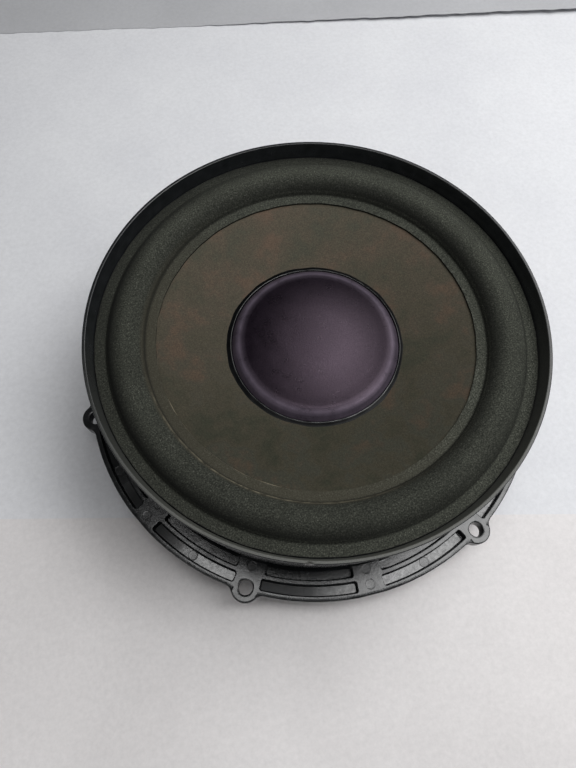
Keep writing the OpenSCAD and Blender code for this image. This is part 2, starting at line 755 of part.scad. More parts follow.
basket();
mounting_gasket();
surround();
cone();
dust_cap();
dust_cap_glue();
neck_glue();
coil_former();
former_collar();
voice_coil();
spider();
top_plate();
magnet();
back_plate();
pole_piece();
motor_screws();
connector_housing();
terminal_positive();
terminal_negative();
lead_positive();
lead_negative();
lead_anchors();
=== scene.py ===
"""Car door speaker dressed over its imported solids.

Lengths in this file are millimetres until a mesh or a lamp is made, and the axes are the part's own:
the origin is the middle of the flange's rear face, +Z points out of the cone, +X runs through an ear.
"""
import math

import bmesh
import bpy
import numpy as np
from mathutils import Matrix, Vector


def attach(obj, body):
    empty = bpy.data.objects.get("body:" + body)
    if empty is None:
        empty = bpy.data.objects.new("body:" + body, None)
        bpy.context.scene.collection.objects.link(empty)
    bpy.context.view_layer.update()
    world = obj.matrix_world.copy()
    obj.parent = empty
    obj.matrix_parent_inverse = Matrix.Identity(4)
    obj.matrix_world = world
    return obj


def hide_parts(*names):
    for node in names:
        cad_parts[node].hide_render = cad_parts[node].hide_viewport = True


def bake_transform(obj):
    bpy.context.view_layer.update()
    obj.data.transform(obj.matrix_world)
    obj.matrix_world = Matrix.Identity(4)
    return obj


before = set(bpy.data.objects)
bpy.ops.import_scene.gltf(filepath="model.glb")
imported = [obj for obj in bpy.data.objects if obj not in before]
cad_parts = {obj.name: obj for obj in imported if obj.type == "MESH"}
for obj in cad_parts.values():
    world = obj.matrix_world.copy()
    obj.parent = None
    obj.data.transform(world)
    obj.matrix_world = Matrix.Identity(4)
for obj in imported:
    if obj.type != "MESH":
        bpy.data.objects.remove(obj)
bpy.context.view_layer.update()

MM = 0.001
TURN = 2 * math.pi
# Steps round the axis for the uneven pieces that show
STEPS = 480

# Flange, ears and the two rows of pockets
FLANGE_T, FLANGE_R = 6.5, 110.7
EARS, EAR_PCD, EAR_R, HOLE_R, FLARE_R = 6, 218, 6.6, 3.25, 4.6
POCKET_DEPTH, POCKET_ROUND = 4.3, 1.0
POCKET_ROWS = ((108.4, 103.7, 11.9), (101.6, 97.0, 12.8))
CHANNEL_R, CHANNEL_W, GASKET_T = 98.6, 4.6, 1.2
# Collar
WALL_R, FOOT_R, RIM_R, RIM_Z = 93.8, 96.2, 100.0, 59.5
MOUTH_R, LEDGE_R, LEDGE_Z, LEDGE_T = 97.0, 89.5, 51.1, 2.5
WALL_LEAN = (RIM_R - FOOT_R) / (RIM_Z - FLANGE_T)
# Hub, seat and spokes
HUB_BORE_R, SKIRT_R, SEAT_R, SEAT_W, SEAT_Z, SEAT_T = 27.0, 47.8, 55.5, 6.5, 20.5, 2.0
MOTOR_Z, SPOKE_T, SPOKE_W, RIB_T = 10.0, 2.5, 18.0, 2.2
# Half width and ends of the connector plate and of its opening
PLATE_X, PLATE_Y = 15.5, (72, 93.9)
OPENING_X, OPENING_Y = 11.2, (76.3, 89.7)
# Surround and cone
ROLL_OUT_R, ROLL_IN_R, ROLL_H, FOLD_W, RING_R, LIP_R, FOAM_T = 91.0, 76.1, 7.0, 0.8, 96.9, 70.8, 1.0
CONE_R, CONE_Z, BOWL_R, BOWL_Z, CONE_T = 76.0, 48.8, 70.4, 48.3, 0.8
CONE_SLOPE = math.tan(math.radians(16))
CAP_R = 38.3
# Voice coil and motor
FORMER_R, FORMER_OUT_R, BAND_R, WINDING_R, POLE_R = 19.0, 19.3, 19.7, 20.1, 18.6
NECK_Z, FLOOR_Z = 33.76, -18.0


def cone_top(r):
    """Height of the cone's front at a radius: a straight 16 degree fall towards the middle."""
    return BOWL_Z - (BOWL_R - r) * CONE_SLOPE


# Camera, fitted to the rim, the roll's creases and the ears in the photograph; the boards lie at its turn
CAMERA_AT = Vector((-45.8, -114.1, 286.9))
CAMERA_TILT, CAMERA_ROLL, CAMERA_TURN = (math.radians(a) for a in (67.75, 3.14, -16.5))


def make_camera():
    """Camera with its right, up and back axes worked out from tilt below the horizon, roll and turn."""
    sin_t, cos_t = math.sin(CAMERA_TILT), math.cos(CAMERA_TILT)
    sin_r, cos_r = math.sin(CAMERA_ROLL), math.cos(CAMERA_ROLL)
    level, rise = Vector((1, 0, 0)), Vector((0, sin_t, cos_t))
    axes = (cos_r * level + sin_r * rise, cos_r * rise - sin_r * level, Vector((0, -cos_t, sin_t)))
    data = bpy.data.cameras.new("camera")
    data.lens, data.sensor_width = 28.125, 36
    data.clip_start, data.clip_end = 0.01, 20
    camera = bpy.data.objects.new("camera", data)
    bpy.context.scene.collection.objects.link(camera)
    turned_axes = Matrix.Rotation(CAMERA_TURN, 3, "Z") @ Matrix(axes).transposed()
    camera.matrix_world = Matrix.Translation(CAMERA_AT * MM) @ turned_axes.to_4x4()
    bpy.context.scene.camera = camera


make_camera()


# Materials

def tint(colour):
    """An sRGB hex colour as linear RGBA."""
    parts = [int(colour[i:i + 2], 16) / 255 for i in (1, 3, 5)]
    return tuple(c / 12.92 if c <= 0.04045 else ((c + 0.055) / 1.055) ** 2.4 for c in parts) + (1.0,)


def per(size):
    """Texture scale at which one cell or blob is this many millimetres across."""
    return 1 / (size * MM)


def crests(size):
    """Wave texture's scale for crests this many millimetres apart: it runs through 20 radians a unit."""
    return per(size) * TURN / 20


def heading(degrees):
    """A level direction of length one, for measuring how far a point lies that way."""
    return math.cos(math.radians(degrees)), math.sin(math.radians(degrees)), 0


def out_of(source):
    """The socket that a node gives its result on."""
    return source if isinstance(source, bpy.types.NodeSocket) else next(o for o in source.outputs if o.enabled)


def add(tree, kind, links=(), stops=(), **settings):
    """Adds a node: settings are its properties, links its inputs' values or the nodes and sockets that feed
    them, and stops the places and colours (or plain grey levels) of a ramp."""
    made = tree.nodes.new("ShaderNode" + kind)
    for name, value in settings.items():
        setattr(made, name, value)
    for key, value in dict(links).items():
        if isinstance(value, (bpy.types.Node, bpy.types.NodeSocket)):
            tree.links.new(out_of(value), made.inputs[key])
        else:
            made.inputs[key].default_value = value
    for i, (at, colour) in enumerate(stops):
        band = made.color_ramp.elements
        stop = band[i] if i < 2 else band.new(at)
        stop.position = at
        stop.color = tint(colour) if isinstance(colour, str) else (colour, colour, colour, 1)
    return made


def finish_of(name, base, roughness, **sockets):
    """A material with one Principled shader that holds its even values; returns it with its tree and place."""
    material = bpy.data.materials.new(name)
    material.use_nodes = True
    tree = material.node_tree
    shader = tree.nodes["Principled BSDF"]
    shader.inputs["Base Color"].default_value = tint(base)
    shader.inputs["Roughness"].default_value = roughness
    for key, value in sockets.items():
        shader.inputs[key.replace("_", " ")].default_value = value
    return material, tree, add(tree, "TexCoord").outputs["Object"]


def feed(tree, **sources):
    """Links nodes to the Principled shader's inputs by name."""
    shader = tree.nodes["Principled BSDF"]
    for key, source in sources.items():
        tree.links.new(out_of(source), shader.inputs[key.replace("_", " ")])


def clouded(name, base, roughness, size, stops, detail=3.0, dent=0.0, **sockets):
    """A finish under one noise: blobs of this size in millimetres shade the colour from stop to stop and,
    where a dent in millimetres is given, press the surface in and out by it."""
    material, tree, place = finish_of(name, base, roughness, **sockets)
    blobs = add(tree, "TexNoise", {"Vector": place, "Scale": per(size), "Detail": detail})
    feed(tree, Base_Color=add(tree, "ValToRGB", {"Fac": blobs}, stops))
    if dent:
        feed(tree, Normal=add(tree, "Bump", {"Height": blobs, "Distance": dent * MM}))
    return material


def basket_plastic():
    """Glass-filled polypropylene, injection moulded: black and half gloss, so edges and flats catch the lamp;
    flow from the gates shows as slow patches of gloss, pocket floors are smoother and mirror the lamp in
    flecks except where painted shade dulls their gloss, and the rim is a dry grey, partly scuffed and partly
    painted light that is palest on the near side."""
    material, tree, place = finish_of("basket_polypropylene_moulded", "#1b1d1f", 0.22)
    floor, scuff_and_painted_light, floor_painted_shade = (add(tree, "Attribute", attribute_name=name).outputs["Fac"]
                              for name in ("floor", "scuff_and_painted_light", "floor_painted_shade"))
    grain = add(tree, "TexNoise", {"Vector": place, "Scale": per(0.5), "Detail": 3.0})
    flow = add(tree, "TexNoise", {"Vector": place, "Scale": per(5), "Detail": 5.0, "Roughness": 0.65})
    flecks = add(tree, "TexNoise", {"Vector": place, "Scale": per(1.5), "Detail": 4.0, "Roughness": 0.7})

    shade = add(tree, "ValToRGB", {"Fac": flow}, [(0.3, "#161819"), (0.7, "#212325")])
    dry = add(tree, "ValToRGB", {"Fac": grain}, [(0.3, "#3f403c"), (0.7, "#5d5e58")])
    # the dry grey on the rim is partly scuff and partly painted light
    shade = add(tree, "Mix", {0: scuff_and_painted_light, 6: shade, 7: dry}, data_type="RGBA")

    gloss = add(tree, "MapRange", {"Value": flow, "From Min": 0.3, "From Max": 0.7,
                                   "To Min": 0.16, "To Max": 0.28})
    # painted shade: where marked, floors get a duller gloss and a lower specular level so they stop mirroring
    # the lamp
    for share, roughness in ((floor, 0.1), (scuff_and_painted_light, 0.6), (floor_painted_shade, 0.45)):
        gloss = add(tree, "Mix", {0: share, 2: gloss, 3: roughness}, data_type="FLOAT")

    flecks = add(tree, "MapRange", {"Value": flecks, "From Min": 0.35, "From Max": 0.65,
                                    "To Min": 0.36, "To Max": 0.64})
    level = 0.5
    for share, there in ((floor, flecks), (floor_painted_shade, 0.2)):
        level = add(tree, "Mix", {0: share, 2: level, 3: there}, data_type="FLOAT")

    sink = add(tree, "MapRange", {"Value": floor, "To Min": 0.08 * MM, "To Max": 0.07 * MM})
    pit = add(tree, "MapRange", {"Value": floor, "To Min": 0.01 * MM, "To Max": 0.022 * MM})
    shape = add(tree, "Bump", {"Height": flow, "Distance": sink})
    shape = add(tree, "Bump", {"Height": grain, "Distance": pit, "Normal": shape})
    feed(tree, Base_Color=shade, Roughness=gloss, Specular_IOR_Level=level, Normal=shape)
    return material


def surround_foam():
    """Polyurethane foam sheet shaped in a heated press: dull grey-green that eats the light, open cells half a
    millimetre wide as dark specks with paler walls, painted shade on the creases and on the flanks that face
    away from the lamps, painted light and shade on the ring and lip, painted shade away from 60 degrees, a lip
    browned on its near side, a tan stain where cement crept into the inner crease, and a cut edge soaked black."""
    material, tree, place = finish_of("surround_polyurethane_foam", "#3a3b37", 0.92, Specular_IOR_Level=0.2)
    painted_light_and_shade, browned, pressed, stain, cut = (
        add(tree, "Attribute", attribute_name=name).outputs["Fac"]
        for name in ("painted_light_and_shade", "browned", "pressed", "stain", "cut"))
    cells = add(tree, "TexVoronoi", {"Vector": place, "Scale": per(0.6)})
    specks = add(tree, "TexNoise", {"Vector": place, "Scale": per(0.6), "Detail": 4.0, "Roughness": 0.75})
    patches = add(tree, "TexNoise", {"Vector": place, "Scale": per(18), "Detail": 3.0})
    run = add(tree, "TexNoise", {"Vector": place, "Scale": per(3.5), "Detail": 4.0, "Roughness": 0.7})

    shade = add(tree, "ValToRGB", {"Fac": specks},
                [(0.32, "#191b18"), (0.47, "#33352f"), (0.58, "#464840"), (0.72, "#70726a")])
    worn = add(tree, "ValToRGB", {"Fac": patches}, [(0.35, 0.9), (0.7, 1.08)])
    # painted shade: the foam darkens away from 60 degrees and is lightest towards it
    back = add(tree, "VectorMath", {0: place, 1: heading(60)}, operation="DOT_PRODUCT").outputs["Value"]
    painted_side_light = add(tree, "MapRange", {"Value": back, "From Min": -90 * MM, "From Max": 70 * MM,
                                   "To Min": 0.72, "To Max": 1.0})
    # painted light and shade multiplied into the colour: darker away from 60 degrees, and the ring and lip
    # lighter on the near side and darker by the wall
    for over in (worn, painted_side_light, painted_light_and_shade):
        shade = add(tree, "Mix", {0: 1.0, 6: shade, 7: over}, data_type="RGBA", blend_type="MULTIPLY")

    crept = add(tree, "MapRange", {"Value": run, "From Min": 0.38, "From Max": 0.62})
    stain = add(tree, "Math", {0: stain, 1: crept}, operation="MULTIPLY")
    # the near-black mix here is painted shade on the creases and on the shaded flanks
    for share, colour in ((browned, "#403c31"), (pressed, "#10110f"), (stain, "#8a8470"), (cut, "#0f0f0e")):
        shade = add(tree, "Mix", {0: share, 6: shade, 7: tint(colour)}, data_type="RGBA")

    shape = add(tree, "Bump", {"Height": cells, "Distance": 0.05 * MM})
    shape = add(tree, "Bump", {"Height": specks, "Distance": 0.1 * MM, "Normal": shape})
    feed(tree, Base_Color=shade, Normal=shape)
    return material


def cone_paper():
    """Pulp paper formed in a press and doped: brown-black felt of short fibres in olive and brown blotches, with
    a painted sheen that lightens the side away from the near edge to a paler brown-grey."""
    material, tree, place = finish_of("cone_pressed_paper", "#33312a", 0.75, Specular_IOR_Level=0.2)
    fibres = add(tree, "TexNoise", {"Vector": place, "Scale": per(0.7), "Detail": 5.0, "Roughness": 0.8})
    blotches = add(tree, "TexNoise", {"Vector": place, "Scale": per(17), "Detail": 5.0, "Roughness": 0.6})

    bare = add(tree, "ValToRGB", {"Fac": blotches},
               [(0.34, "#2b2c21"), (0.46, "#353227"), (0.54, "#33332a"), (0.66, "#3e352a")])
    painted_side_light = add(tree, "ValToRGB", {"Fac": blotches}, [(0.36, "#4c4a3f"), (0.5, "#534b3f"), (0.64, "#5f4f42")])
    # painted sheen: the paler colour is mixed in towards 85 degrees, away from the near edge
    back = add(tree, "VectorMath", {0: place, 1: heading(85)}, operation="DOT_PRODUCT").outputs["Value"]
    painted_sheen = add(tree, "MapRange", {"Value": back, "From Min": -50 * MM, "From Max": 70 * MM,
                                  "To Min": 0.0, "To Max": 0.7})
    shade = add(tree, "Mix", {0: painted_sheen, 6: bare, 7: painted_side_light}, data_type="RGBA")
    felt = add(tree, "ValToRGB", {"Fac": fibres}, [(0.3, 0.6), (0.5, 0.98), (0.7, 1.5)])
    shade = add(tree, "Mix", {0: 1.0, 6: shade, 7: felt}, data_type="RGBA", blend_type="MULTIPLY")

    shape = add(tree, "Bump", {"Height": blotches, "Distance": 0.2 * MM})
    shape = add(tree, "Bump", {"Height": fibres, "Distance": 0.06 * MM, "Normal": shape})
    feed(tree, Base_Color=shade, Normal=shape)
    return material


def cap_film():
    """Polyester film, dyed and hot formed over the cap: very dark plum with a satin gloss that spreads the lamp
    into a grainy haze, weaker towards the dome's border, and a shoulder rubbed pale and dull."""
    material, tree, place = finish_of("cap_polyester_film", "#130f16", 0.27, Specular_Tint=tint("#f8dcf4"))
    bloom = add(tree, "TexNoise", {"Vector": place, "Scale": per(7), "Detail": 5.0, "Roughness": 0.65})
    pores = add(tree, "TexNoise", {"Vector": place, "Scale": per(0.7), "Detail": 4.0, "Roughness": 0.7})
    grain = add(tree, "TexNoise", {"Vector": place, "Scale": per(0.6), "Detail": 3.0, "Roughness": 0.7})
    across = add(tree, "VectorMath", {0: place, 1: (1, 1, 0)}, operation="MULTIPLY")
    across = add(tree, "VectorMath", {0: across}, operation="LENGTH").outputs["Value"]

    outwards = add(tree, "MapRange", {"Value": across, "From Min": 30 * MM, "From Max": 38 * MM})
    rubbed = add(tree, "ValToRGB", {"Fac": outwards}, [(0.22, "#100c12"), (0.42, "#2c272e"), (0.6, "#4e4751"),
                                                       (0.72, "#413b44"), (0.85, "#3c363f"), (1.0, "#4d4550")])
    haze = add(tree, "ValToRGB", {"Fac": bloom}, [(0.3, 0.75), (0.7, 1.3)])
    shade = add(tree, "Mix", {0: 1.0, 6: rubbed, 7: haze}, data_type="RGBA", blend_type="MULTIPLY")

    gloss = add(tree, "MapRange", {"Value": bloom, "From Min": 0.3, "From Max": 0.7,
                                   "To Min": 0.25, "To Max": 0.36})
    outwards = add(tree, "MapRange", {"Value": across, "From Max": 40 * MM})
    shine = add(tree, "ValToRGB", {"Fac": outwards},
                [(0.35, 0.53), (0.6, 0.3), (0.675, 0.25), (0.75, 0.18), (0.795, 0.18), (0.87, 0.33)])
    grain = add(tree, "MapRange", {"Value": grain, "From Min": 0.3, "From Max": 0.7,
                                   "To Min": 0.72, "To Max": 1.28})
    shine = add(tree, "Math", {0: shine, 1: grain}, operation="MULTIPLY")
    shape = add(tree, "Bump", {"Height": pores, "Distance": 0.08 * MM})
    feed(tree, Base_Color=shade, Roughness=gloss, Specular_IOR_Level=shine, Normal=shape)
    return material


def black_glue():
    """Rubber adhesive, run on wet: black and glossy with a slow ripple that breaks the highlight, and dull on
    the thin skirt where it soaked into the paper."""
    material, tree, place = finish_of("cap_bead_rubber_adhesive", "#060708", 0.1)
    wet = add(tree, "TexNoise", {"Vector": place, "Scale": per(2.5), "Detail": 2.0})
    shade = add(tree, "ValToRGB", {"Fac": wet}, [(0.35, "#050607"), (0.7, "#0b0c0d")])
    skirt = add(tree, "Attribute", attribute_name="skirt").outputs["Fac"]
    gloss, level = (add(tree, "MapRange", {"Value": skirt, "To Min": crest, "To Max": foot})
                    for crest, foot in ((0.1, 0.4), (0.5, 0.1)))
    shape = add(tree, "Bump", {"Height": wet, "Distance": 0.04 * MM})
    feed(tree, Base_Color=shade, Roughness=gloss, Specular_IOR_Level=level, Normal=shape)
    return material


def brown_cement():
    """Contact cement squeezed out and dried: a thin tan skin with darker, thinner stretches."""
    return clouded("lip_contact_cement", "#5c5443", 0.5, 6, [(0.35, "#37342b"), (0.65, "#6f6752")])


def amber_glue():
    """Neck adhesive, a cured amber resin: warm and glossy, darker where it is thick."""
    return clouded("neck_amber_resin", "#8a5f22", 0.28, 3, [(0.3, "#5d3c12"), (0.7, "#9a6d2c")], 2.0, 0.1)


def gasket_foam():
    """Closed-cell rubber foam strip: even dull black with fine round cells."""
    material, tree, place = finish_of("gasket_closed_cell_rubber_foam", "#1c1c1d", 0.85, Specular_IOR_Level=0.3)
    cells = add(tree, "TexVoronoi", {"Vector": place, "Scale": per(0.6)})
    shade = add(tree, "ValToRGB", {"Fac": cells}, [(0.1, "#2a2a2b"), (0.6, "#171718")])
    feed(tree, Base_Color=shade, Normal=add(tree, "Bump", {"Height": cells, "Distance": 0.1 * MM}))
    return material


def spider_cloth():
    """Cotton cloth dipped in phenolic resin and formed in a hot press: mustard brown with a plain weave of
    half-millimetre threads, drawn at 0.8 mm so that it shows."""
    material, tree, place = finish_of("spider_resin_cotton", "#8f6f35", 0.62)
    warp, weft = (add(tree, "TexWave", {"Vector": place, "Scale": crests(0.8)}, bands_direction=way)
                  for way in "XY")
    weave = add(tree, "Math", {0: warp, 1: weft}, operation="MAXIMUM")
    soak = add(tree, "TexNoise", {"Vector": place, "Scale": per(9), "Detail": 3.0})
    shade = add(tree, "ValToRGB", {"Fac": weave}, [(0.1, "#4b3716"), (0.8, "#9c7a3b")])
    deep = add(tree, "ValToRGB", {"Fac": soak}, [(0.3, 0.8), (0.7, 1.1)])
    shade = add(tree, "Mix", {0: 1.0, 6: shade, 7: deep}, data_type="RGBA", blend_type="MULTIPLY")
    feed(tree, Base_Color=shade, Normal=add(tree, "Bump", {"Height": weave, "Distance": 0.15 * MM}))
    return material


def polyimide_film():
    """Polyimide film wound into a tube: amber and glossy."""
    return clouded("former_polyimide_film", "#8c5417", 0.25, 5, [(0.3, "#7a4712"), (0.7, "#9c6120")], 2.0)


def kraft_paper():
    """Kraft paper wrap: brown, dull, with long fibres round the tube."""
    material, tree, place = finish_of("band_kraft_paper", "#6f5336", 0.8)
    fibres = add(tree, "TexNoise", {"Vector": place, "Scale": per(1.2), "Detail": 4.0, "Roughness": 0.7})
    shade = add(tree, "ValToRGB", {"Fac": fibres}, [(0.3, "#5c4229"), (0.7, "#876746")])
    feed(tree, Base_Color=shade, Normal=add(tree, "Bump", {"Height": fibres, "Distance": 0.04 * MM}))
    return material


def copper_wire():
    """Enamelled copper wire: metal with a clear red-brown lacquer over it."""
    return clouded("winding_enamelled_copper", "#b5653a", 0.32, 4, [(0.3, "#9c5230"), (0.7, "#c07446")], 2.0,
                   Metallic=1.0, Coat_Weight=0.5)


def copper_braid():
    """Tinsel lead, copper foil braided over cotton: crossing strands, their copper darkened by painted shade
    between them.
    """
    material, tree, _ = finish_of("lead_copper_tinsel_braid", "#a8704a", 0.4, Metallic=0.8)
    strand = add(tree, "Attribute", attribute_name="strand").outputs["Fac"]
    # painted shade: the colour follows the strand height, dark in the hollows between strands
    feed(tree, Base_Color=add(tree, "ValToRGB", {"Fac": strand}, [(0.2, "#4e3120"), (0.7, "#bf865a")]))
    return material


def plated_steel():
    """Turned steel, zinc plated and passivated: blue-grey metal with concentric tool marks, which are finer in
    truth and drawn 0.8 mm apart so that they show, and faint yellow patches."""
    material, tree, place = finish_of("motor_zinc_plated_steel", "#a9aaa8", 0.34, Metallic=1.0)
    marks = add(tree, "TexWave", {"Vector": place, "Scale": crests(0.8), "Distortion": 1.0, "Detail": 2.0},
                wave_type="RINGS", rings_direction="Z")
    passive = add(tree, "TexNoise", {"Vector": place, "Scale": per(16), "Detail": 4.0, "Roughness": 0.6})
    shade = add(tree, "ValToRGB", {"Fac": passive}, [(0.3, "#97999b"), (0.55, "#a7a8a5"), (0.75, "#b0a98f")])
    gloss = add(tree, "MapRange", {"Value": passive, "From Min": 0.3, "From Max": 0.7,
                                   "To Min": 0.26, "To Max": 0.44})
    shape = add(tree, "Bump", {"Height": marks, "Distance": 0.012 * MM})
    feed(tree, Base_Color=shade, Roughness=gloss, Normal=shape)
    return material


def screw_steel():
    """Cold-headed steel screws, zinc plated: bright metal with small dull scuffs."""
    material, tree, place = finish_of("screw_zinc_plated_steel", "#b4b4b2", 0.3, Metallic=1.0)
    scuff = add(tree, "TexNoise", {"Vector": place, "Scale": per(1.5), "Detail": 3.0})
    shade = add(tree, "ValToRGB", {"Fac": scuff}, [(0.3, "#9d9e9d"), (0.7, "#bdbdba")])
    gloss = add(tree, "MapRange", {"Value": scuff, "From Min": 0.35, "From Max": 0.7,
                                   "To Min": 0.22, "To Max": 0.5})
    feed(tree, Base_Color=shade, Roughness=gloss)
    return material


def ferrite():
    """Sintered ferrite, ground on both faces: dense charcoal ceramic with a faint metallic sheen and pores."""
    material, tree, place = finish_of("magnet_ground_ferrite", "#2c2c2f", 0.5)
    pores = add(tree, "TexNoise", {"Vector": place, "Scale": per(0.6), "Detail": 4.0, "Roughness": 0.7})
    cloud = add(tree, "TexNoise", {"Vector": place, "Scale": per(12), "Detail": 3.0})
    shade = add(tree, "ValToRGB", {"Fac": cloud}, [(0.3, "#262629"), (0.7, "#343437")])
    feed(tree, Base_Color=shade, Normal=add(tree, "Bump", {"Height": pores, "Distance": 0.05 * MM}))
    return material


def socket_nylon():
    """Moulded nylon: dark grey, a little duller than the basket, with a fine grain."""
    return clouded("socket_moulded_nylon", "#232427", 0.42, 0.6, [(0.3, "#1f2023"), (0.7, "#292a2d")], dent=0.03)


def tinned_brass():
    """Stamped brass sheet, tin plated: pale warm metal with soft stamping scuffs."""
    return clouded("terminal_tinned_brass", "#c9bd98", 0.3, 1.2, [(0.3, "#b9a574"), (0.7, "#d5ccb0")],
                   Metallic=1.0)


def card(name, base, pale):
    """Matt board: even pale grey-white with a fine tooth, a faint slow tone and a few specks of dirt."""
    material, tree, place = finish_of(name, base, 0.9, Specular_IOR_Level=0.1)
    cloud = add(tree, "TexNoise", {"Vector": place, "Scale": per(60), "Detail": 8.0, "Roughness": 0.62})
    tooth = add(tree, "TexNoise", {"Vector": place, "Scale": per(2.5), "Detail": 5.0, "Roughness": 0.7})
    blot = add(tree, "TexNoise", {"Vector": place, "Scale": per(24)})
    dots = add(tree, "TexVoronoi", {"Vector": place, "Scale": per(46)})
    shade = add(tree, "ValToRGB", {"Fac": cloud}, [(0.3, base), (0.7, pale)])
    rough = add(tree, "ValToRGB", {"Fac": tooth}, [(0.3, 0.94), (0.7, 1.05)])
    shade = add(tree, "Mix", {0: 1.0, 6: shade, 7: rough}, data_type="RGBA", blend_type="MULTIPLY")
    reach = add(tree, "MapRange", {"Value": blot, "From Min": 0.45, "From Max": 0.75, "To Max": 0.018})
    dirt = add(tree, "Math", {0: dots.outputs["Distance"], 1: reach}, operation="LESS_THAN")
    feed(tree, Base_Color=add(tree, "Mix", {0: dirt, 6: shade, 7: tint("#77756e")}, data_type="RGBA"))
    return material


PLASTIC = basket_plastic()
BLACK_GLUE = black_glue()
STEEL = plated_steel()


# Mesh tools

def mesh_of(name, corners, faces, material, smooth, merge=True):
    """A mesh object from corners in millimetres, closed at doubles, with outward faces. Edges that bend by more
    than smooth, in degrees, stay sharp."""
    mesh = bpy.data.meshes.new(name)
    mesh.from_pydata((np.asarray(corners, float) * MM).tolist(), [],
                     faces.tolist() if isinstance(faces, np.ndarray) else faces)
    shape = bmesh.new()
    shape.from_mesh(mesh)
    if merge:
        bmesh.ops.remove_doubles(shape, verts=shape.verts, dist=1e-7)
    bmesh.ops.recalc_face_normals(shape, faces=shape.faces)
    shape.to_mesh(mesh)
    shape.free()
    mesh.shade_smooth()
    mesh.set_sharp_from_angle(angle=math.radians(smooth))
    mesh.materials.append(material)
    piece = bpy.data.objects.new(name, mesh)
    bpy.context.scene.collection.objects.link(piece)
    return piece


def wrapped_faces(rows, cols):
    """Four-cornered faces of a grid whose rows and columns both close on themselves."""
    i, j = np.meshgrid(np.arange(rows), np.arange(cols), indexing="ij")
    a, b = i * cols + j, i * cols + (j + 1) % cols
    below = ((i + 1) % rows) * cols
    return np.stack([a, b, below + (j + 1) % cols, below + j], axis=-1).reshape(-1, 4)


def repeated(faces, count, size):
    """The same faces for several shells in a row, of this many corners each."""
    return (faces[None] + np.arange(count)[:, None, None] * size).reshape(-1, faces.shape[1])


def round_axis(steps):
    """Angles of evenly spaced steps round the axis."""
    return np.arange(steps) * TURN / steps


def turned(name, r, z, material, steps, smooth):
    """A closed section turned about the axis: point (i, j) is at radius r(i, j), angle j / steps of a turn,
    height z(i, j). One value a row makes it round, a row of values makes it uneven."""
    angle = round_axis(steps)
    r, z = (np.broadcast_to(np.asarray(v, float).reshape(len(v), -1), (len(v), steps)) for v in (r, z))
    corners = np.stack([r * np.cos(angle), r * np.sin(angle), z], axis=-1)
    return mesh_of(name, corners.reshape(-1, 3), wrapped_faces(len(r), steps), material, smooth)


def rounded(points, radius, steps=4):
    """Closed outline with each corner cut back by up to radius and bent round on a quadratic curve."""
    p = np.asarray(points, float)
    back, on = np.roll(p, 1, axis=0) - p, np.roll(p, -1, axis=0) - p
    reach_back, reach_on = (np.linalg.norm(v, axis=1, keepdims=True) for v in (back, on))
    radius = np.broadcast_to(np.asarray(radius, float), (len(p),)).reshape(-1, 1)
    cut = np.minimum(radius, np.minimum(reach_back, reach_on) * 0.45)
    start, end = p + back / reach_back * cut, p + on / reach_on * cut
    t = np.linspace(0, 1, steps + 1)[None, :, None]
    bent = (1 - t) ** 2 * start[:, None] + 2 * t * (1 - t) * p[:, None] + t ** 2 * end[:, None]
    return bent.reshape(-1, 2)


def turned_outline(name, points, radius, material, steps, corner_steps):
    """A closed outline with rounded corners, turned about the axis."""
    section = rounded(points, radius, corner_steps)
    return turned(name, section[:, 0], section[:, 1], material, steps, 50)


def upright(outline, angle, width, aside=0.0):
    """An outline in radius and height, turned to an angle and pushed out sideways: outline in 3-D and push."""
    outline = np.asarray(outline, float)
    out = np.array([math.cos(angle), math.sin(angle), 0])
    side = np.array([-math.sin(angle), math.cos(angle), 0])
    corners = outline[:, :1] * out + aside * side + outline[:, 1:] * np.array([0, 0, 1.0])
    return corners, width * side


def prisms(name, shapes, material, ease):
    """Flat outlines pushed out sideways, half of the push each way, with eased edges."""
    corners, faces, base = [], [], 0
    for outline, push in shapes:
        n = len(outline)
        corners += [outline - push / 2, outline + push / 2]
        faces += [list(range(base, base + n))[::-1], list(range(base + n, base + 2 * n))]
        faces += [[base + i, base + (i + 1) % n, base + n + (i + 1) % n, base + n + i] for i in range(n)]
        base += 2 * n
    piece = mesh_of(name, np.concatenate(corners), faces, material, 30, merge=False)
    return eased(piece, ease)


def eased(piece, width, segments=3):
    """Gives a piece's sharp edges a small round."""
    bevel = piece.modifiers.new("eased", "BEVEL")
    bevel.width, bevel.segments = width * MM, segments
    bevel.limit_method, bevel.angle_limit = "ANGLE", math.radians(30)
    return piece


def ripple(steps, seed, waves, size):
    """An uneven closed line round the axis: a sum of sines with seeded phases, about size high."""
    chance = np.random.default_rng(seed)
    waves = np.asarray(waves)
    phase, share = chance.uniform(0, TURN, len(waves)), chance.uniform(0.5, 1, len(waves))
    line = (share[:, None] * np.sin(waves[:, None] * round_axis(steps) + phase[:, None])).sum(axis=0)
    return size * line / max(np.abs(line).max(), 1e-9)


def bell(values, at, width):
    """One at this value and falling away on a bell curve of that width."""
    return np.exp(-((values - at) / width) ** 2)


def bump_at(steps, degrees, width):
    """A bell curve round the axis, by the angle from its middle, in degrees."""
    angle = np.arange(steps) * 360 / steps
    return bell((angle - degrees + 180) % 360 - 180, 0, width)


def arch(start, end, rise, steps):
    """Points on a circle's arc that stands this high over its chord."""
    half = np.linalg.norm(end - start) / 2
    radius, sweep = (half ** 2 + rise ** 2) / (2 * rise), 2 * math.atan(rise / half)
    a = np.linspace(-sweep, sweep, steps)[:, None]
    along = (end - start) / (2 * half)
    up = np.array([along[1], -along[0]])
    return (start + end) / 2 + radius * np.sin(a) * along + (rise - radius * (1 - np.cos(a))) * up


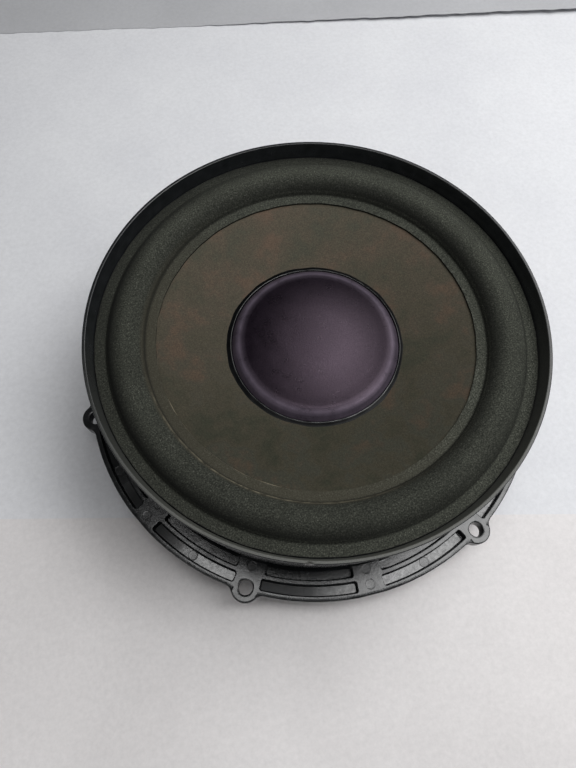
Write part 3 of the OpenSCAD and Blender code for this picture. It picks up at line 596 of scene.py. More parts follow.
def smoothed(line, times, kept=0):
    """An open line drawn so many times towards the mean of its neighbours, with the ends and some more kept."""
    line = np.array(line, float)
    first, last = kept + 1, len(line) - kept - 1
    for _ in range(times):
        line[first:last] = (line[first - 1:last - 1] + 2 * line[first:last] + line[first + 1:last + 1]) / 4
    return line


def resampled(points, count):
    """Points spaced evenly along an open line through these ones, with their distances along it."""
    points = np.asarray(points, float)
    reach = np.concatenate([[0], np.cumsum(np.linalg.norm(np.diff(points, axis=0), axis=1))])
    along = np.linspace(0, reach[-1], count)
    return along, np.stack([np.interp(along, reach, column) for column in points.T], axis=-1)


def moved_out(r, z, t):
    """An open line moved out along its own normals by t."""
    dr, dz = np.gradient(r), np.gradient(z)
    size = np.hypot(dr, dz)
    return r + dz / size * t, z - dr / size * t


def polar_of(piece):
    """Radius, angle and height of the piece's corners, in millimetres and radians."""
    flat = np.empty(len(piece.data.vertices) * 3)
    piece.data.vertices.foreach_get("co", flat)
    x, y, z = (flat.reshape(-1, 3) / MM).T
    return np.hypot(x, y), np.arctan2(y, x), z


def mark(piece, name, values):
    """Stores one number a corner under a name that a material reads."""
    piece.data.attributes.new(name, "FLOAT", "POINT").data.foreach_set("value", values.astype(np.float32))


def stands_for(piece, node, body):
    """The piece replaces a solid, which is hidden, and moves with its body when one is given."""
    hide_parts(node)
    if body:
        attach(piece, body)


def flexes(piece, share):
    """Bakes the piece's placing into its mesh; the share, from the frame at 0 to the cone at 1, is eased but
    never used, so the piece does not bend.
    """
    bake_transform(piece)
    share = np.clip(share, 0, 1)
    share = share * share * (3 - 2 * share)


# Basket

# The ear round each hole is a patch of its own, cut out of the flange at this angle and radius
PATCH_ANGLE, PATCH_R = math.radians(2.9), 104.3
# Drop of a pocket's wall by distance outside its outline: foot, drafted wall and eased top edge
WALL_AT = np.array([-0.45, -0.36, -0.26, -0.18, -0.05, 0.02, 0.12, 0.3])
WALL_DROP = np.array([1, 0.985, 0.94, 0.85, 0.09, 0.04, 0.01, 0]) * POCKET_DEPTH
# The flange's edge is eased by this much
EASE = 0.45
# Azimuth of the nick in the rim, and the painted shade on the pocket floors by azimuth, which dulls their gloss
# to stand in for dark reflections: two stretches, one on each side of the ear at the near left
RIM_NICK = -106.5
FLOOR_SHADE_AT = [-165, -157, -146, -140, -136, -124, -119, -108, -100, -91]
FLOOR_SHADE_SHARE = [0, 1, 0.95, 0.5, 0, 0, 0.9, 0.8, 0.35, 0]


def flange_edge(angle):
    """Radius of the flange's edge by angle: the ear's circle, then the hollow's circle, then the plain edge."""
    a = np.abs((np.asarray(angle) + TURN / 12) % (TURN / 6) - TURN / 12)
    ear_at, hollow_at = EAR_PCD / 2, FLANGE_R + FLARE_R
    end = math.acos((ear_at ** 2 + hollow_at ** 2 - (EAR_R + FLARE_R) ** 2) / (2 * ear_at * hollow_at))
    lean = math.atan2(hollow_at * math.sin(end), hollow_at * math.cos(end) - ear_at)
    start = math.atan2(EAR_R * math.sin(lean), ear_at + EAR_R * math.cos(lean))
    ear = ear_at * np.cos(a) + np.sqrt(np.clip(EAR_R ** 2 - (ear_at * np.sin(a)) ** 2, 0, None))
    off = end - a
    hollow = hollow_at * np.cos(off) - np.sqrt(np.clip(FLARE_R ** 2 - (hollow_at * np.sin(off)) ** 2, 0, None))
    return np.where(a <= start, ear, np.where(a <= end, hollow, FLANGE_R))


def pocket_half(outer_r, inner_r, web):
    """Half the angle that a pocket spans."""
    return TURN / 24 - web / (outer_r + inner_r)


def flange_top(r, angle):
    """Height of the flange's front: flat, less each pocket's drop by distance from a round-cornered outline."""
    local = np.abs((angle + TURN / 24) % (TURN / 12) - TURN / 24)
    local = TURN / 24 - local
    z = np.full(np.broadcast(r, angle).shape, FLANGE_T)
    for outer_r, inner_r, web in POCKET_ROWS:
        middle_r = (outer_r + inner_r) / 2
        across = np.abs(r - middle_r) - (outer_r - inner_r) / 2 + POCKET_ROUND
        along = (local - pocket_half(outer_r, inner_r, web)) * middle_r + POCKET_ROUND
        outside = np.hypot(np.clip(across, 0, None), np.clip(along, 0, None))
        apart = outside + np.minimum(np.maximum(across, along), 0) - POCKET_ROUND
        z = z - np.interp(apart, WALL_AT, WALL_DROP)
    return z


def make_flange():
    """Polar grid of sections: front with pockets, eased edge, back with the gasket channel. Lines crowd at
    the pockets' walls, and the grid stops short at the ears. The outer pockets' floors are marked, and so is
    the painted shade that dulls their gloss."""
    # Lines run at these distances from a pocket's wall
    near_wall = np.concatenate([[-1.05, -0.6], WALL_AT, [0.5]])
    walls, ends = [WALL_R, 96.0], [0, 0.05]
    for outer_r, inner_r, web in POCKET_ROWS:
        walls += list(outer_r + near_wall) + list(inner_r - near_wall) + [(outer_r + inner_r) / 2]
        half, middle_r = pocket_half(outer_r, inner_r, web), (outer_r + inner_r) / 2
        ends += list(half + near_wall / middle_r) + [half * share for share in (0.25, 0.5, 0.75)]
    walls, ends = np.unique(np.round(walls, 3)), np.array(ends)
    hollow = np.radians(np.concatenate([np.linspace(2.9, 4.8, 12), np.linspace(5.5, 11, 4)]))
    sector = np.concatenate([TURN / 24 - ends, TURN / 24 + ends, hollow])
    sector = np.concatenate([sector, TURN / 6 - sector])
    sector = np.unique(np.round(sector, 6))
    sector = sector[(sector > PATCH_ANGLE + 1e-4) & (sector < TURN / 6 - PATCH_ANGLE - 1e-4)]
    short = np.linspace(-PATCH_ANGLE, PATCH_ANGLE, 9)
    one = np.concatenate([short, [PATCH_ANGLE], sector, [TURN / 6 - PATCH_ANGLE]])
    angle = (one[None, :] + round_axis(EARS)[:, None]).ravel()
    full = np.tile(np.arange(len(one)) >= len(short), EARS)
    edge, ease = np.where(full, flange_edge(angle), PATCH_R), np.where(full, EASE, 0.0)
    inner = np.minimum(walls[:, None], edge - ease * 1.2)
    bend = np.linspace(0, math.pi / 2, 4)[:, None]
    back = np.array([[110.0, 0], [CHANNEL_R + CHANNEL_W, 0], [CHANNEL_R + CHANNEL_W - 0.05, GASKET_T],
                     [CHANNEL_R + 0.05, GASKET_T], [CHANNEL_R, 0], [WALL_R, 0]])
    back_r = np.minimum(back[:, :1], edge - ease * 0.7)
    r = np.concatenate([inner, edge - ease * (1 - np.sin(bend)), edge[None, :], back_r])
    z = np.concatenate([flange_top(inner, angle), FLANGE_T - ease * (1 - np.cos(bend)), ease[None, :] * 0.7,
                        np.broadcast_to(back[:, 1:], back_r.shape)])
    corners = np.stack([r * np.cos(angle), r * np.sin(angle), z], axis=-1).reshape(-1, 3)
    piece = mesh_of("basket_flange", corners, wrapped_faces(*r.shape), PLASTIC, 32)
    reach, angle, height = polar_of(piece)
    depth = FLANGE_T - height
    floor = (depth > 0.84 * POCKET_DEPTH) & (depth < POCKET_DEPTH + 0.3) & (reach > POCKET_ROWS[1][0] + 0.8)
    mark(piece, "floor", floor)
    mark(piece, "floor_painted_shade", floor * np.interp(np.degrees(angle), FLOOR_SHADE_AT, FLOOR_SHADE_SHARE))
    return piece


def make_ears():
    """Each ear: rings from its hole's eased edge out to its own eased edge, by share of the way between."""
    # The patch's loop has this many points up each side, over the ear's bow and back along the flange
    up, over, back = 7, 41, 11
    side = np.linspace(PATCH_R, float(flange_edge(PATCH_ANGLE)), up + 1)
    bow = np.linspace(-PATCH_ANGLE, PATCH_ANGLE, over)
    loop_r = np.concatenate([side[:-1], flange_edge(bow), side[::-1][1:], np.full(back, PATCH_R)])
    loop_a = np.concatenate([np.full(up, -PATCH_ANGLE), bow, np.full(up, PATCH_ANGLE),
                             np.linspace(PATCH_ANGLE, -PATCH_ANGLE, back + 2)[1:-1]])
    shown = np.concatenate([np.zeros(up), np.ones(over), np.zeros(up + back)])
    x, y = loop_r * np.cos(loop_a) - EAR_PCD / 2, loop_r * np.sin(loop_a)
    reach = np.hypot(x, y)
    flat = np.ones(len(x))
    rings = [(HOLE_R * flat, 0.3 * flat), (HOLE_R * flat, (FLANGE_T - 0.4) * flat),
             ((HOLE_R + 0.12) * flat, (FLANGE_T - 0.12) * flat), ((HOLE_R + 0.4) * flat, FLANGE_T * flat)]
    rings += [(HOLE_R + 0.4 + (reach - 0.9 - HOLE_R) * share, FLANGE_T * flat) for share in (0.3, 0.6, 0.85)]
    rings += [(reach - shown * EASE * (1 - math.sin(bend)), FLANGE_T - shown * EASE * (1 - math.cos(bend)))
              for bend in np.linspace(0, math.pi / 2, 4)]
    rings += [(reach, shown * EASE * 0.7), (reach - shown * EASE * 0.7, 0 * flat),
              ((HOLE_R + 0.3) * flat, 0 * flat)]
    share = np.array([r for r, _ in rings]) / reach
    height = np.array([z for _, z in rings])
    px, py = EAR_PCD / 2 + share * x, share * y
    turn = round_axis(EARS)[:, None, None]
    corners = np.stack([px * np.cos(turn) - py * np.sin(turn), px * np.sin(turn) + py * np.cos(turn),
                        height + 0 * turn], axis=-1)
    faces = repeated(wrapped_faces(*px.shape), EARS, px.size)
    return mesh_of("basket_ears", corners.reshape(-1, 3), faces, PLASTIC, 32)


def make_collar():
    """Collar in one turned section: foot, leaning wall, rim, slanted mouth and foam ledge; the rim has a nick
    and a dry grey scuff, partly wear and partly painted light, palest on the near side."""
    shelf_z = LEDGE_Z - LEDGE_T
    outline = [[WALL_R, 0.2], [FOOT_R, 0.2], [FOOT_R, FLANGE_T - 0.2], [FOOT_R + 0.9, FLANGE_T - 0.05],
               [FOOT_R + 0.9, FLANGE_T + 0.02], [FOOT_R + 0.12, FLANGE_T + 1.2], [RIM_R, RIM_Z],
               [RIM_R - 1.5, RIM_Z], [MOUTH_R, LEDGE_Z], [LEDGE_R, LEDGE_Z], [LEDGE_R, shelf_z],
               [WALL_R + (shelf_z - FLANGE_T) * WALL_LEAN, shelf_z], [WALL_R, FLANGE_T]]
    section = rounded(outline, [0.1, 0.1, 0.1, 0.1, 0.3, 1.2, 0.45, 0.4, 0.5, 0.5, 0.5, 1.2, 0.5], 5)
    steps = 720
    r, z = section[:, :1], section[:, 1:]
    on_rim = np.interp(z, [RIM_Z - 1.2, RIM_Z - 0.2], [0, 1]) * np.interp(r, [RIM_R - 1, RIM_R - 0.4], [0, 1])
    nick = bump_at(steps, RIM_NICK, 0.55)
    piece = turned("basket_collar", r - on_rim * nick * 0.7, z - on_rim * nick * 0.5, PLASTIC, steps, 35)
    reach, angle, height = polar_of(piece)
    # painted light over the scuff: strongest on the near side, none on the far side
    painted_light_side = np.clip(0.2 + np.cos(angle + math.radians(95)), 0, 1) ** 1.5
    mark(piece, "scuff_and_painted_light", 0.85 * painted_light_side * ((height > LEDGE_Z + 0.4) & (reach < RIM_R - 0.3)))
    return piece


def make_hub():
    """Hub plate, skirt and spider seat in one turned section; at six vents the wall under the seat is left out:
    there row 6 joins row 13 and row 12 joins row 7, instead of 6 to 7 and 12 to 13."""
    wall_r, skirt_z, vent_z = SEAT_R - SPOKE_T, 5.3, MOTOR_Z + SPOKE_T
    vent_w, vent_columns, wall_columns = 16.0, 16, 43
    section = np.array([[HUB_BORE_R, MOTOR_Z], [SKIRT_R, MOTOR_Z], [SKIRT_R, skirt_z], [SKIRT_R + 2.2, skirt_z],
                        [SKIRT_R + 2.2, MOTOR_Z], [SEAT_R, MOTOR_Z], [SEAT_R, vent_z], [SEAT_R, vent_z + 4],
                        [SEAT_R, SEAT_Z], [SEAT_R - SEAT_W, SEAT_Z], [SEAT_R - SEAT_W, SEAT_Z - SEAT_T],
                        [wall_r, SEAT_Z - SEAT_T], [wall_r, vent_z + 4], [wall_r, vent_z], [HUB_BORE_R, vent_z]])
    half = math.degrees(vent_w / 2 / (SEAT_R - SPOKE_T / 2))
    sector = np.concatenate([np.linspace(30 - half, 30 + half, vent_columns + 1)[:-1],
                             np.linspace(30 + half, 90 - half, wall_columns + 1)[:-1]])
    angle = np.radians((sector[None, :] + 60 * np.arange(EARS)[:, None]).ravel())
    n, m = len(angle), len(sector)
    corners = np.stack([section[:, :1] * np.cos(angle), section[:, :1] * np.sin(angle),
                        section[:, 1:] * np.ones(n)], axis=-1).reshape(-1, 3)
    column, in_vent, rows = np.arange(n), (np.arange(n) % m) < vent_columns, len(section)
    faces = []
    for a, b, where in ([(i, (i + 1) % rows, column >= 0) for i in range(rows) if i not in (6, 12)]
                        + [(6, 7, ~in_vent), (12, 13, ~in_vent), (6, 13, in_vent), (12, 7, in_vent)]):
        j = column[where]
        faces.append(np.stack([a * n + j, b * n + j, b * n + (j + 1) % n, a * n + (j + 1) % n], axis=-1))
    for start in (0, vent_columns):
        j = np.arange(start, n, m)
        faces.append(np.stack([6 * n + j, 7 * n + j, 12 * n + j, 13 * n + j], axis=-1))
    return eased(mesh_of("basket_hub", corners, np.concatenate(faces), PLASTIC, 30), 0.3, 2)


def make_spokes():
    """Six sloping spokes with a middle rib and two edge ribs, and the connector plate's two ribs."""
    root_r, end_r, top = SEAT_R - SPOKE_T / 2, WALL_R + 0.8, 24.0
    wall_top_r = end_r + (top - FLANGE_T) * WALL_LEAN
    back = [[root_r, MOTOR_Z + 0.8], [end_r, 0.02]]
    shapes = []
    for a in round_axis(EARS):
        shapes.append(upright(back + [[end_r, SPOKE_T], [root_r, MOTOR_Z + SPOKE_T]], a, SPOKE_W))
        shapes.append(upright(back + [[end_r, FLANGE_T], [wall_top_r, top], [root_r, SEAT_Z - 0.05]], a, RIB_T))
        for aside in (-1, 1):
            shapes.append(upright(back + [[end_r, SPOKE_T + 5], [root_r, MOTOR_Z + SPOKE_T + 2.5]], a, RIB_T,
                                  aside * (SPOKE_W - RIB_T) / 2))
    near, far = PLATE_Y[0], PLATE_Y[1] + 0.3
    for aside in (-PLATE_X, PLATE_X):
        shapes.append(upright([[near, 0], [far, 0], [far, 7.5], [near, 7.5]], TURN / 4, RIB_T, aside))
    return prisms("basket_spokes", shapes, PLASTIC, 0.4)


def make_connector_plate():
    """Plate round the socket: an outer and an inner rectangle joined into a flat frame."""
    outer, inner = ([[-x, y[0]], [x, y[0]], [x, y[1]], [-x, y[1]]]
                    for x, y in ((PLATE_X, PLATE_Y), (OPENING_X, OPENING_Y)))
    rows = [np.column_stack([loop, np.full(4, z)]) for loop, z in
            ((outer, 0), (outer, SPOKE_T), (inner, SPOKE_T), (inner, 0))]
    return eased(mesh_of("basket_connector_plate", np.concatenate(rows), wrapped_faces(4, 4), PLASTIC, 30), 0.3)


def make_ejector_marks():
    """Rings that the mould's ejector pins left: a shallow dished disc by radius, on webs and pocket floors."""
    angles = round_axis(12)
    outer_r, inner_r = ((outer + inner) / 2 for outer, inner, _ in POCKET_ROWS)
    spots = [(outer_r, a, FLANGE_T) for a in angles[1::2]] + [(inner_r, a, FLANGE_T) for a in angles]
    spots += [(outer_r, a + TURN / 24, FLANGE_T - POCKET_DEPTH) for a in angles]
    at, turn, top = np.array(spots).T[:, :, None, None]
    rings = np.array([[0.3, 0.015], [1.7, 0.015], [1.95, 0.02], [2.1, 0.045], [2.25, 0.04], [2.45, -0.05]])
    r, z = rings.T[:, :, None]
    steps = 24
    count, circle = steps * len(rings), round_axis(steps)
    corners = np.stack([at * np.cos(turn) + r * np.cos(circle), at * np.sin(turn) + r * np.sin(circle),
                        top + z + 0 * circle], axis=-1).reshape(-1, 3)
    faces = repeated(wrapped_faces(len(rings), steps)[:-steps], len(spots), count)
    lids = repeated(np.arange(steps)[None], len(spots), count)
    piece = mesh_of("basket_ejector_marks", corners, faces.tolist() + lids.tolist(), PLASTIC, 60)
    _, angle, height = polar_of(piece)
    # painted shade on the marks that sit on pocket floors, as on the floors round them
    mark(piece, "floor_painted_shade", (height < FLANGE_T - 1) * np.interp(np.degrees(angle), FLOOR_SHADE_AT, FLOOR_SHADE_SHARE))
    return piece


def make_basket():
    """The moulding, in seven surfaces that sit in each other."""
    for piece in (make_flange(), make_ears(), make_collar(), make_hub(), make_spokes(), make_connector_plate(),
                  make_ejector_marks()):
        stands_for(piece, "basket", "frame")


def make_gasket():
    """Foam strip in the flange's channel: a rounded rectangle turned about the axis, its rear edge uneven and
    with a butt joint opposite the connector."""
    joint = bump_at(STEPS, 262, 0.3)
    section = rounded([[CHANNEL_R, 0], [CHANNEL_R + CHANNEL_W, 0], [CHANNEL_R + CHANNEL_W, GASKET_T],
                       [CHANNEL_R, GASKET_T]], 0.35)
    low = np.interp(section[:, 1:], [0, 0.4], [1, 0])
    z = section[:, 1:] + low * (0.45 * joint + 0.08 + ripple(STEPS, 31, [3, 7, 19, 40], 0.07))
    piece = turned("mounting_gasket", section[:, :1], z, gasket_foam(), STEPS, 50)
    stands_for(piece, "mounting_gasket", "frame")


# Surround

def make_surround():
    """Roll: a circle's arc over its chord, run softly into a flat ring outside and a sloping lip inside. Its
    painted shade on creases and flanks, painted light and shade on ring and lip, stain, browning and cut edges
    are marked by radius and by the side that they are on."""
    lines = []
    for lift, fold in ((0, 0), (FOAM_T, FOLD_W)):
        outer, inner = np.array([ROLL_OUT_R + fold, LEDGE_Z]), np.array([ROLL_IN_R - fold, CONE_Z + 0.15])
        ring = np.column_stack([np.linspace(RING_R, outer[0], 14)[:-1], np.full(13, LEDGE_Z)])
        line = np.concatenate([ring, arch(outer, inner, ROLL_H - FOAM_T, 72),
                               np.linspace(inner, (LIP_R, BOWL_Z + 0.15), 14)[1:]])
        lines.append(smoothed(line, 3, kept=10) + (0, lift))
    section_r, section_z = np.concatenate([lines[0], lines[1][::-1]]).T
    crown_r = 83.5
    on_roll = bell(section_r, crown_r, 6)[:, None]
    edge_out = np.interp(section_r, [95.8, 96.5], [0, 1])[:, None]
    edge_in = np.interp(section_r, [LIP_R, LIP_R + 0.8], [1, 0])[:, None]
    grid_r = (section_r[:, None] + edge_out * (ripple(STEPS, 5, [3, 8, 13, 29, 47], 0.2) - 0.15)
              + edge_in * (ripple(STEPS, 8, [2, 5, 9, 23, 41], 0.25) + 0.1))
    grid_z = section_z[:, None] + on_roll * ripple(STEPS, 3, [2, 3, 5, 7, 11], 0.12)
    piece = turned("surround", grid_r, grid_z, surround_foam(), STEPS, 50)
    r, angle, height = polar_of(piece)
    # Each is one on its side, at the angle in radians, and minus one opposite
    near, left, behind = np.cos(angle + 1.36), np.cos(angle + 2.9), np.cos(angle - 0.6)
    crept = np.clip(np.cos(angle + math.radians(127)) * 3 - 1.9, 0, 1)
    mark(piece, "stain", 0.8 * crept * bell(r, 76.0, 0.35) * (height > CONE_Z + 0.6))
    # painted shade: both creases darkened all round, the flanks most on the sides that face away from the lamps
    creases = 0.6 * bell(r, 91.4, 0.8) + 0.6 * bell(r, 75.5, 0.6)
    outer_flank = np.interp(r, [crown_r, 86, 88, 90.5, 91.6], [0, 0.3, 0.6, 0.95, 0.2]) * (0.55 + 0.45 * left)
    inner_flank = np.interp(r, [75.4, 76.4, 78, 80, 82.5], [0, 0.85, 0.7, 0.4, 0]) * (0.5 + 0.5 * behind)
    mark(piece, "pressed", np.maximum(creases, np.maximum(outer_flank, inner_flank)))
    mark(piece, "browned", np.interp(r, [76.2, 77.5], [0.6, 0]) * np.clip(0.3 - behind, 0, 1))
    # painted light and shade: the ring lighter on the near side and darker by the wall, the lip lighter on the
    # near side
    wall_painted_shade = np.interp(r, [93, 96.5], [0, 1]) * (0.5 + 0.5 * np.cos(angle - 0.8))
    mark(piece, "painted_light_and_shade", 1 + np.where(r > 91, 0.38 * near - 0.3 * wall_painted_shade, 0)
         + np.where(r < 76, 0.4 * np.maximum(near, 0), 0))
    inner_cut = (np.interp(r, [LIP_R + 0.25, LIP_R + 0.45], [1, 0])
                 * np.interp(height, [BOWL_Z + 1.02, BOWL_Z + 1.12], [1, 0]))
    outer_cut = np.interp(r, [RING_R - 0.5, RING_R - 0.35], [0, 1])
    mark(piece, "cut", np.maximum(inner_cut, outer_cut))
    stands_for(piece, "surround", None)
    flexes(piece, (ROLL_OUT_R - r) / (ROLL_OUT_R - ROLL_IN_R))


def make_lip_cement():
    """Line of cement squeezed out round the lip's edge, half a sine across: a low bead on the cone, wide and
    uneven at the lower left and a thread elsewhere."""
    here = np.clip(bump_at(STEPS, 222, 34) * 1.5, 0, 1)
    width = 0.04 + here * (0.24 + ripple(STEPS, 41, [1, 2, 3, 7, 17, 33], 0.14))
    t = np.linspace(0, np.pi, 7)[:, None]
    r = LIP_R + 0.35 - width * (1 - np.cos(t))
    z = np.interp(r, [60, BOWL_R, CONE_R], [cone_top(60), BOWL_Z, CONE_Z]) - 0.06
    z = z + (0.05 + 0.2 * here) * np.sin(t)
    piece = turned("lip_cement", r, z, brown_cement(), STEPS, 60)
    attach(piece, "cone_assembly")


# Cone, cap and glue

def make_cone():
    """Shallow cone: a flat rim, a straight 16 degree wall and a short neck, with a slow warp from drying."""
    neck = NECK_Z - 3
    outline = [[CONE_R, CONE_Z], [BOWL_R, BOWL_Z], [22.5, cone_top(22.5)], [BAND_R, cone_top(BAND_R) - 0.6],
               [BAND_R, neck], [BAND_R + 0.8, neck], [BAND_R + 1.2, cone_top(20.9) - 1.3],
               [BOWL_R, BOWL_Z - 0.83], [CONE_R, CONE_Z - CONE_T]]
    section = rounded(outline, [0.2, 2, 1.5, 0.8, 0.1, 0.1, 0.8, 2, 0.2], 5)
    dense = []
    for a, b in zip(section, np.roll(section, -1, axis=0)):
        count = max(1, int(np.linalg.norm(b - a) // 2.5))
        dense.append(a + (b - a) * (np.arange(count) / count)[:, None])
    section = np.concatenate(dense)
    steps = 360
    wall = np.sin(np.pi * np.clip((section[:, :1] - 22) / 48, 0, 1))
    z = section[:, 1:] + wall * ripple(steps, 11, [2, 3, 4], 0.1)
    piece = turned("cone", section[:, :1], z, cone_paper(), steps, 50)
    stands_for(piece, "cone", "cone_assembly")


DOME_R, DOME_Z, DOME_H = 32.6, 43.32, 2.3
CAP_PROFILE = [(CAP_R, 39.1), (37.9, 40.0), (37.2, 41.2), (36.5, 41.95), (35.6, 42.4), (34.4, 42.85),
               (33.3, 43.2), (DOME_R, DOME_Z)]


def make_cap():
    """Cap: a steep wall and a sloping shoulder through smoothed points, then a parabola for the dome."""
    r, z = smoothed(resampled(CAP_PROFILE, 40)[1], 3).T
    dome = np.linspace(1, 0, 40)[1:]
    r = np.concatenate([r, DOME_R * dome])
    z = np.concatenate([z, DOME_Z + DOME_H * (1 - dome ** 2)])
    r_in, z_in = np.clip(r - 0.5 * (r / CAP_R), 0, None), z - 0.45
    z_in[0] = cone_top(r_in[0])
    section_r, section_z = np.concatenate([r, r_in[::-1]]), np.concatenate([z, z_in[::-1]])
    piece = turned("dust_cap", section_r, section_z, cap_film(), 240, 50)
    stands_for(piece, "dust_cap", "cone_assembly")


def make_bead():
    """Glue bead: a section by shares of its width and height, with the crest close to the cap and a long slope
    outwards. Both wander round the cap, widest at the lower left, and the slope is marked as the dull skirt."""
    width = 2.0 + ripple(STEPS, 21, [1, 2, 3, 5, 9, 16, 27], 0.3) + 0.6 * bump_at(STEPS, 215, 60)
    height = 1.1 + ripple(STEPS, 22, [2, 3, 7, 12, 31], 0.15)
    across, rise = np.array([[1.0, 0], [0.92, 0.06], [0.7, 0.32], [0.48, 0.62], [0.3, 0.88], [0.2, 0.98],
                             [0.13, 1.0], [0.06, 0.94], [0.0, 0.75], [-0.05, 0.4]]).T[:, :, None]
    r = CAP_R + width * across
    z = cone_top(r) + height * rise
    under = np.ones((1, STEPS))
    r = np.concatenate([r, (CAP_R - 0.2) * under, (CAP_R + 0.4) * under])
    z = np.concatenate([z, (cone_top(CAP_R) + 0.1) * under, (cone_top(CAP_R) - 0.1) * under])
    piece = turned("dust_cap_bead", r, z, BLACK_GLUE, STEPS, 60)
    mark(piece, "skirt", np.interp(polar_of(piece)[0], [CAP_R + 0.5, CAP_R + 0.75], [0, 1]))
    stands_for(piece, "dust_cap_glue", "cone_assembly")


def make_neck_glue():
    """Fillet of resin between the cone and the paper band: a hollow quarter curve with an uneven edge."""
    steps = 240
    t = np.linspace(0, 1, 7)[:, None]
    reach = 2.0 + ripple(steps, 51, [2, 3, 5, 9], 0.2)
    r = BAND_R + reach * (1 - t) ** 1.8
    z = cone_top(BAND_R + reach * (1 - t)) + reach * t ** 1.8 * 0.95
    r = np.concatenate([r, np.full((2, steps), BAND_R - 0.02)])
    z = np.concatenate([z, np.full((1, steps), NECK_Z + 1), np.full((1, steps), NECK_Z)])
    piece = turned("neck_glue", r, z, amber_glue(), steps, 60)
    stands_for(piece, "neck_glue", "cone_assembly")


# Voice coil and spider

def make_coil():
    """Former and paper band as thin tubes; the winding's outside is a row of half-round wires 0.4 mm thick."""
    for node, inner, outer, low, high, ease, material, slot in (
            ("coil_former", FORMER_R, FORMER_OUT_R, -1, NECK_Z + 3, 0.1, polyimide_film(), "polyimide"),
            ("former_collar", FORMER_OUT_R, BAND_R, SEAT_Z - 1.4, NECK_Z + 2, 0.12, kraft_paper(),
             "kraft_paper")):
        outline = [[inner, low], [outer, low], [outer, high], [inner, high]]
        stands_for(turned_outline(node, outline, ease, material, 180, 2), node, "cone_assembly")
    low, wire, wires, bends = 0.5, 0.4, 35, 6
    high = low + wire * wires
    z = np.linspace(low, high, wires * bends + 1)
    bulge = np.sqrt(1 - np.clip(((z - low) / wire % 1) * 2 - 1, -1, 1) ** 2)
    r = WINDING_R - wire / 2 + wire / 2 * bulge
    r, z = np.concatenate([r, [FORMER_OUT_R, FORMER_OUT_R]]), np.concatenate([z, [high, low]])
    stands_for(turned("voice_coil", r, z, copper_wire(), 120, 80), "voice_coil", "cone_assembly")


def make_spider():
    """Corrugated disc: height follows a sine of radius between a turned-up neck and a flat edge, in cloth that
    is 0.6 mm thick."""
    mid, t = SEAT_Z + 0.3, 0.6
    first_r, last_r, waves, wave_h = 22.6, 48.4, 5, 1.4
    waves_r = np.linspace(first_r, last_r, 91)
    waves_z = mid + wave_h * np.sin(waves * TURN * (waves_r - first_r) / (last_r - first_r))
    r = np.concatenate([np.full(6, 20.3), [20.34, 20.45, 20.62], np.linspace(20.9, 22.4, 5), waves_r,
                        np.linspace(48.9, 54.8, 7)])
    z = np.concatenate([np.linspace(mid + 3, mid + 0.5, 6), mid + np.array([0.28, 0.12, 0.03]), np.full(5, mid),
                        waves_z, np.full(7, mid)])
    (upper_r, upper_z), (lower_r, lower_z) = moved_out(r, z, -t / 2), moved_out(r, z, t / 2)
    piece = turned("spider", np.concatenate([upper_r[::-1], lower_r]), np.concatenate([upper_z[::-1], lower_z]),
                   spider_cloth(), 240, 60)
    stands_for(piece, "spider", None)
    flexes(piece, (49.0 - polar_of(piece)[0]) / (49.0 - first_r))


# Motor

def make_motor():
    """Turned plates, ferrite ring and pole, each an outline with its machined chamfers."""
    for name, outline, ease, material, slot in (
            ("top_plate", [[20.7, 5], [47.5, 5], [47.5, 10], [20.7, 10]], 0.4, STEEL, "plated_steel"),
            ("magnet", [[24, -12], [50, -12], [50, 5], [24, 5]], 0.7, ferrite(), "ferrite"),
            ("back_plate", [[14, -18], [47.5, -18], [47.5, -12], [14, -12]], 0.6, STEEL, "plated_steel"),
            ("pole_piece", [[7, -18], [14, -18], [14, -12], [POLE_R, -12], [POLE_R, 11], [7, 11]],
             [1.2, 0.3, 0.1, 0.3, 0.8, 1.2], STEEL, "plated_steel")):
        stands_for(turned_outline(name, outline, ease, material, 288, 3), name, "frame")


def make_eased_copy(node, material, width):
    """A merged copy of a small flat-faced solid, its flat faces joined up and its edges eased."""
    piece = bpy.data.objects.new(node + "_eased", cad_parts[node].data.copy())
    bpy.context.scene.collection.objects.link(piece)
    shape = bmesh.new()
    shape.from_mesh(piece.data)
    bmesh.ops.remove_doubles(shape, verts=shape.verts, dist=1e-6)
    bmesh.ops.dissolve_limit(shape, angle_limit=math.radians(1), verts=shape.verts, edges=shape.edges)
    shape.to_mesh(piece.data)
    shape.free()
    piece.data.materials.clear()
    piece.data.materials.append(material)
    piece.data.shade_smooth()
    piece.data.set_sharp_from_angle(angle=math.radians(30))
    stands_for(eased(piece, width, 2), node, "frame")


# Leads

LEAD_START, LEAD_END = np.array([4.7, 83.0, 9.3]), np.array([11, 46.5, 37.53])
# The route as shares of the way from start to end, one for each axis
LEAD_SHARES = [(0, 0, 0), (0.24, 0, 0), (0.51, 0.01, 0.02), (0.76, 0.04, 0.05), (0.94, 0.1, 0.11),
               (1.05, 0.17, 0.19), (1.13, 0.25, 0.28), (1.17, 0.34, 0.36), (1.21, 0.43, 0.44),
               (1.22, 0.53, 0.52), (1.22, 0.62, 0.62), (1.21, 0.7, 0.72), (1.17, 0.78, 0.81),
               (1.13, 0.86, 0.9), (1.06, 0.94, 0.96), (1, 1, 1)]


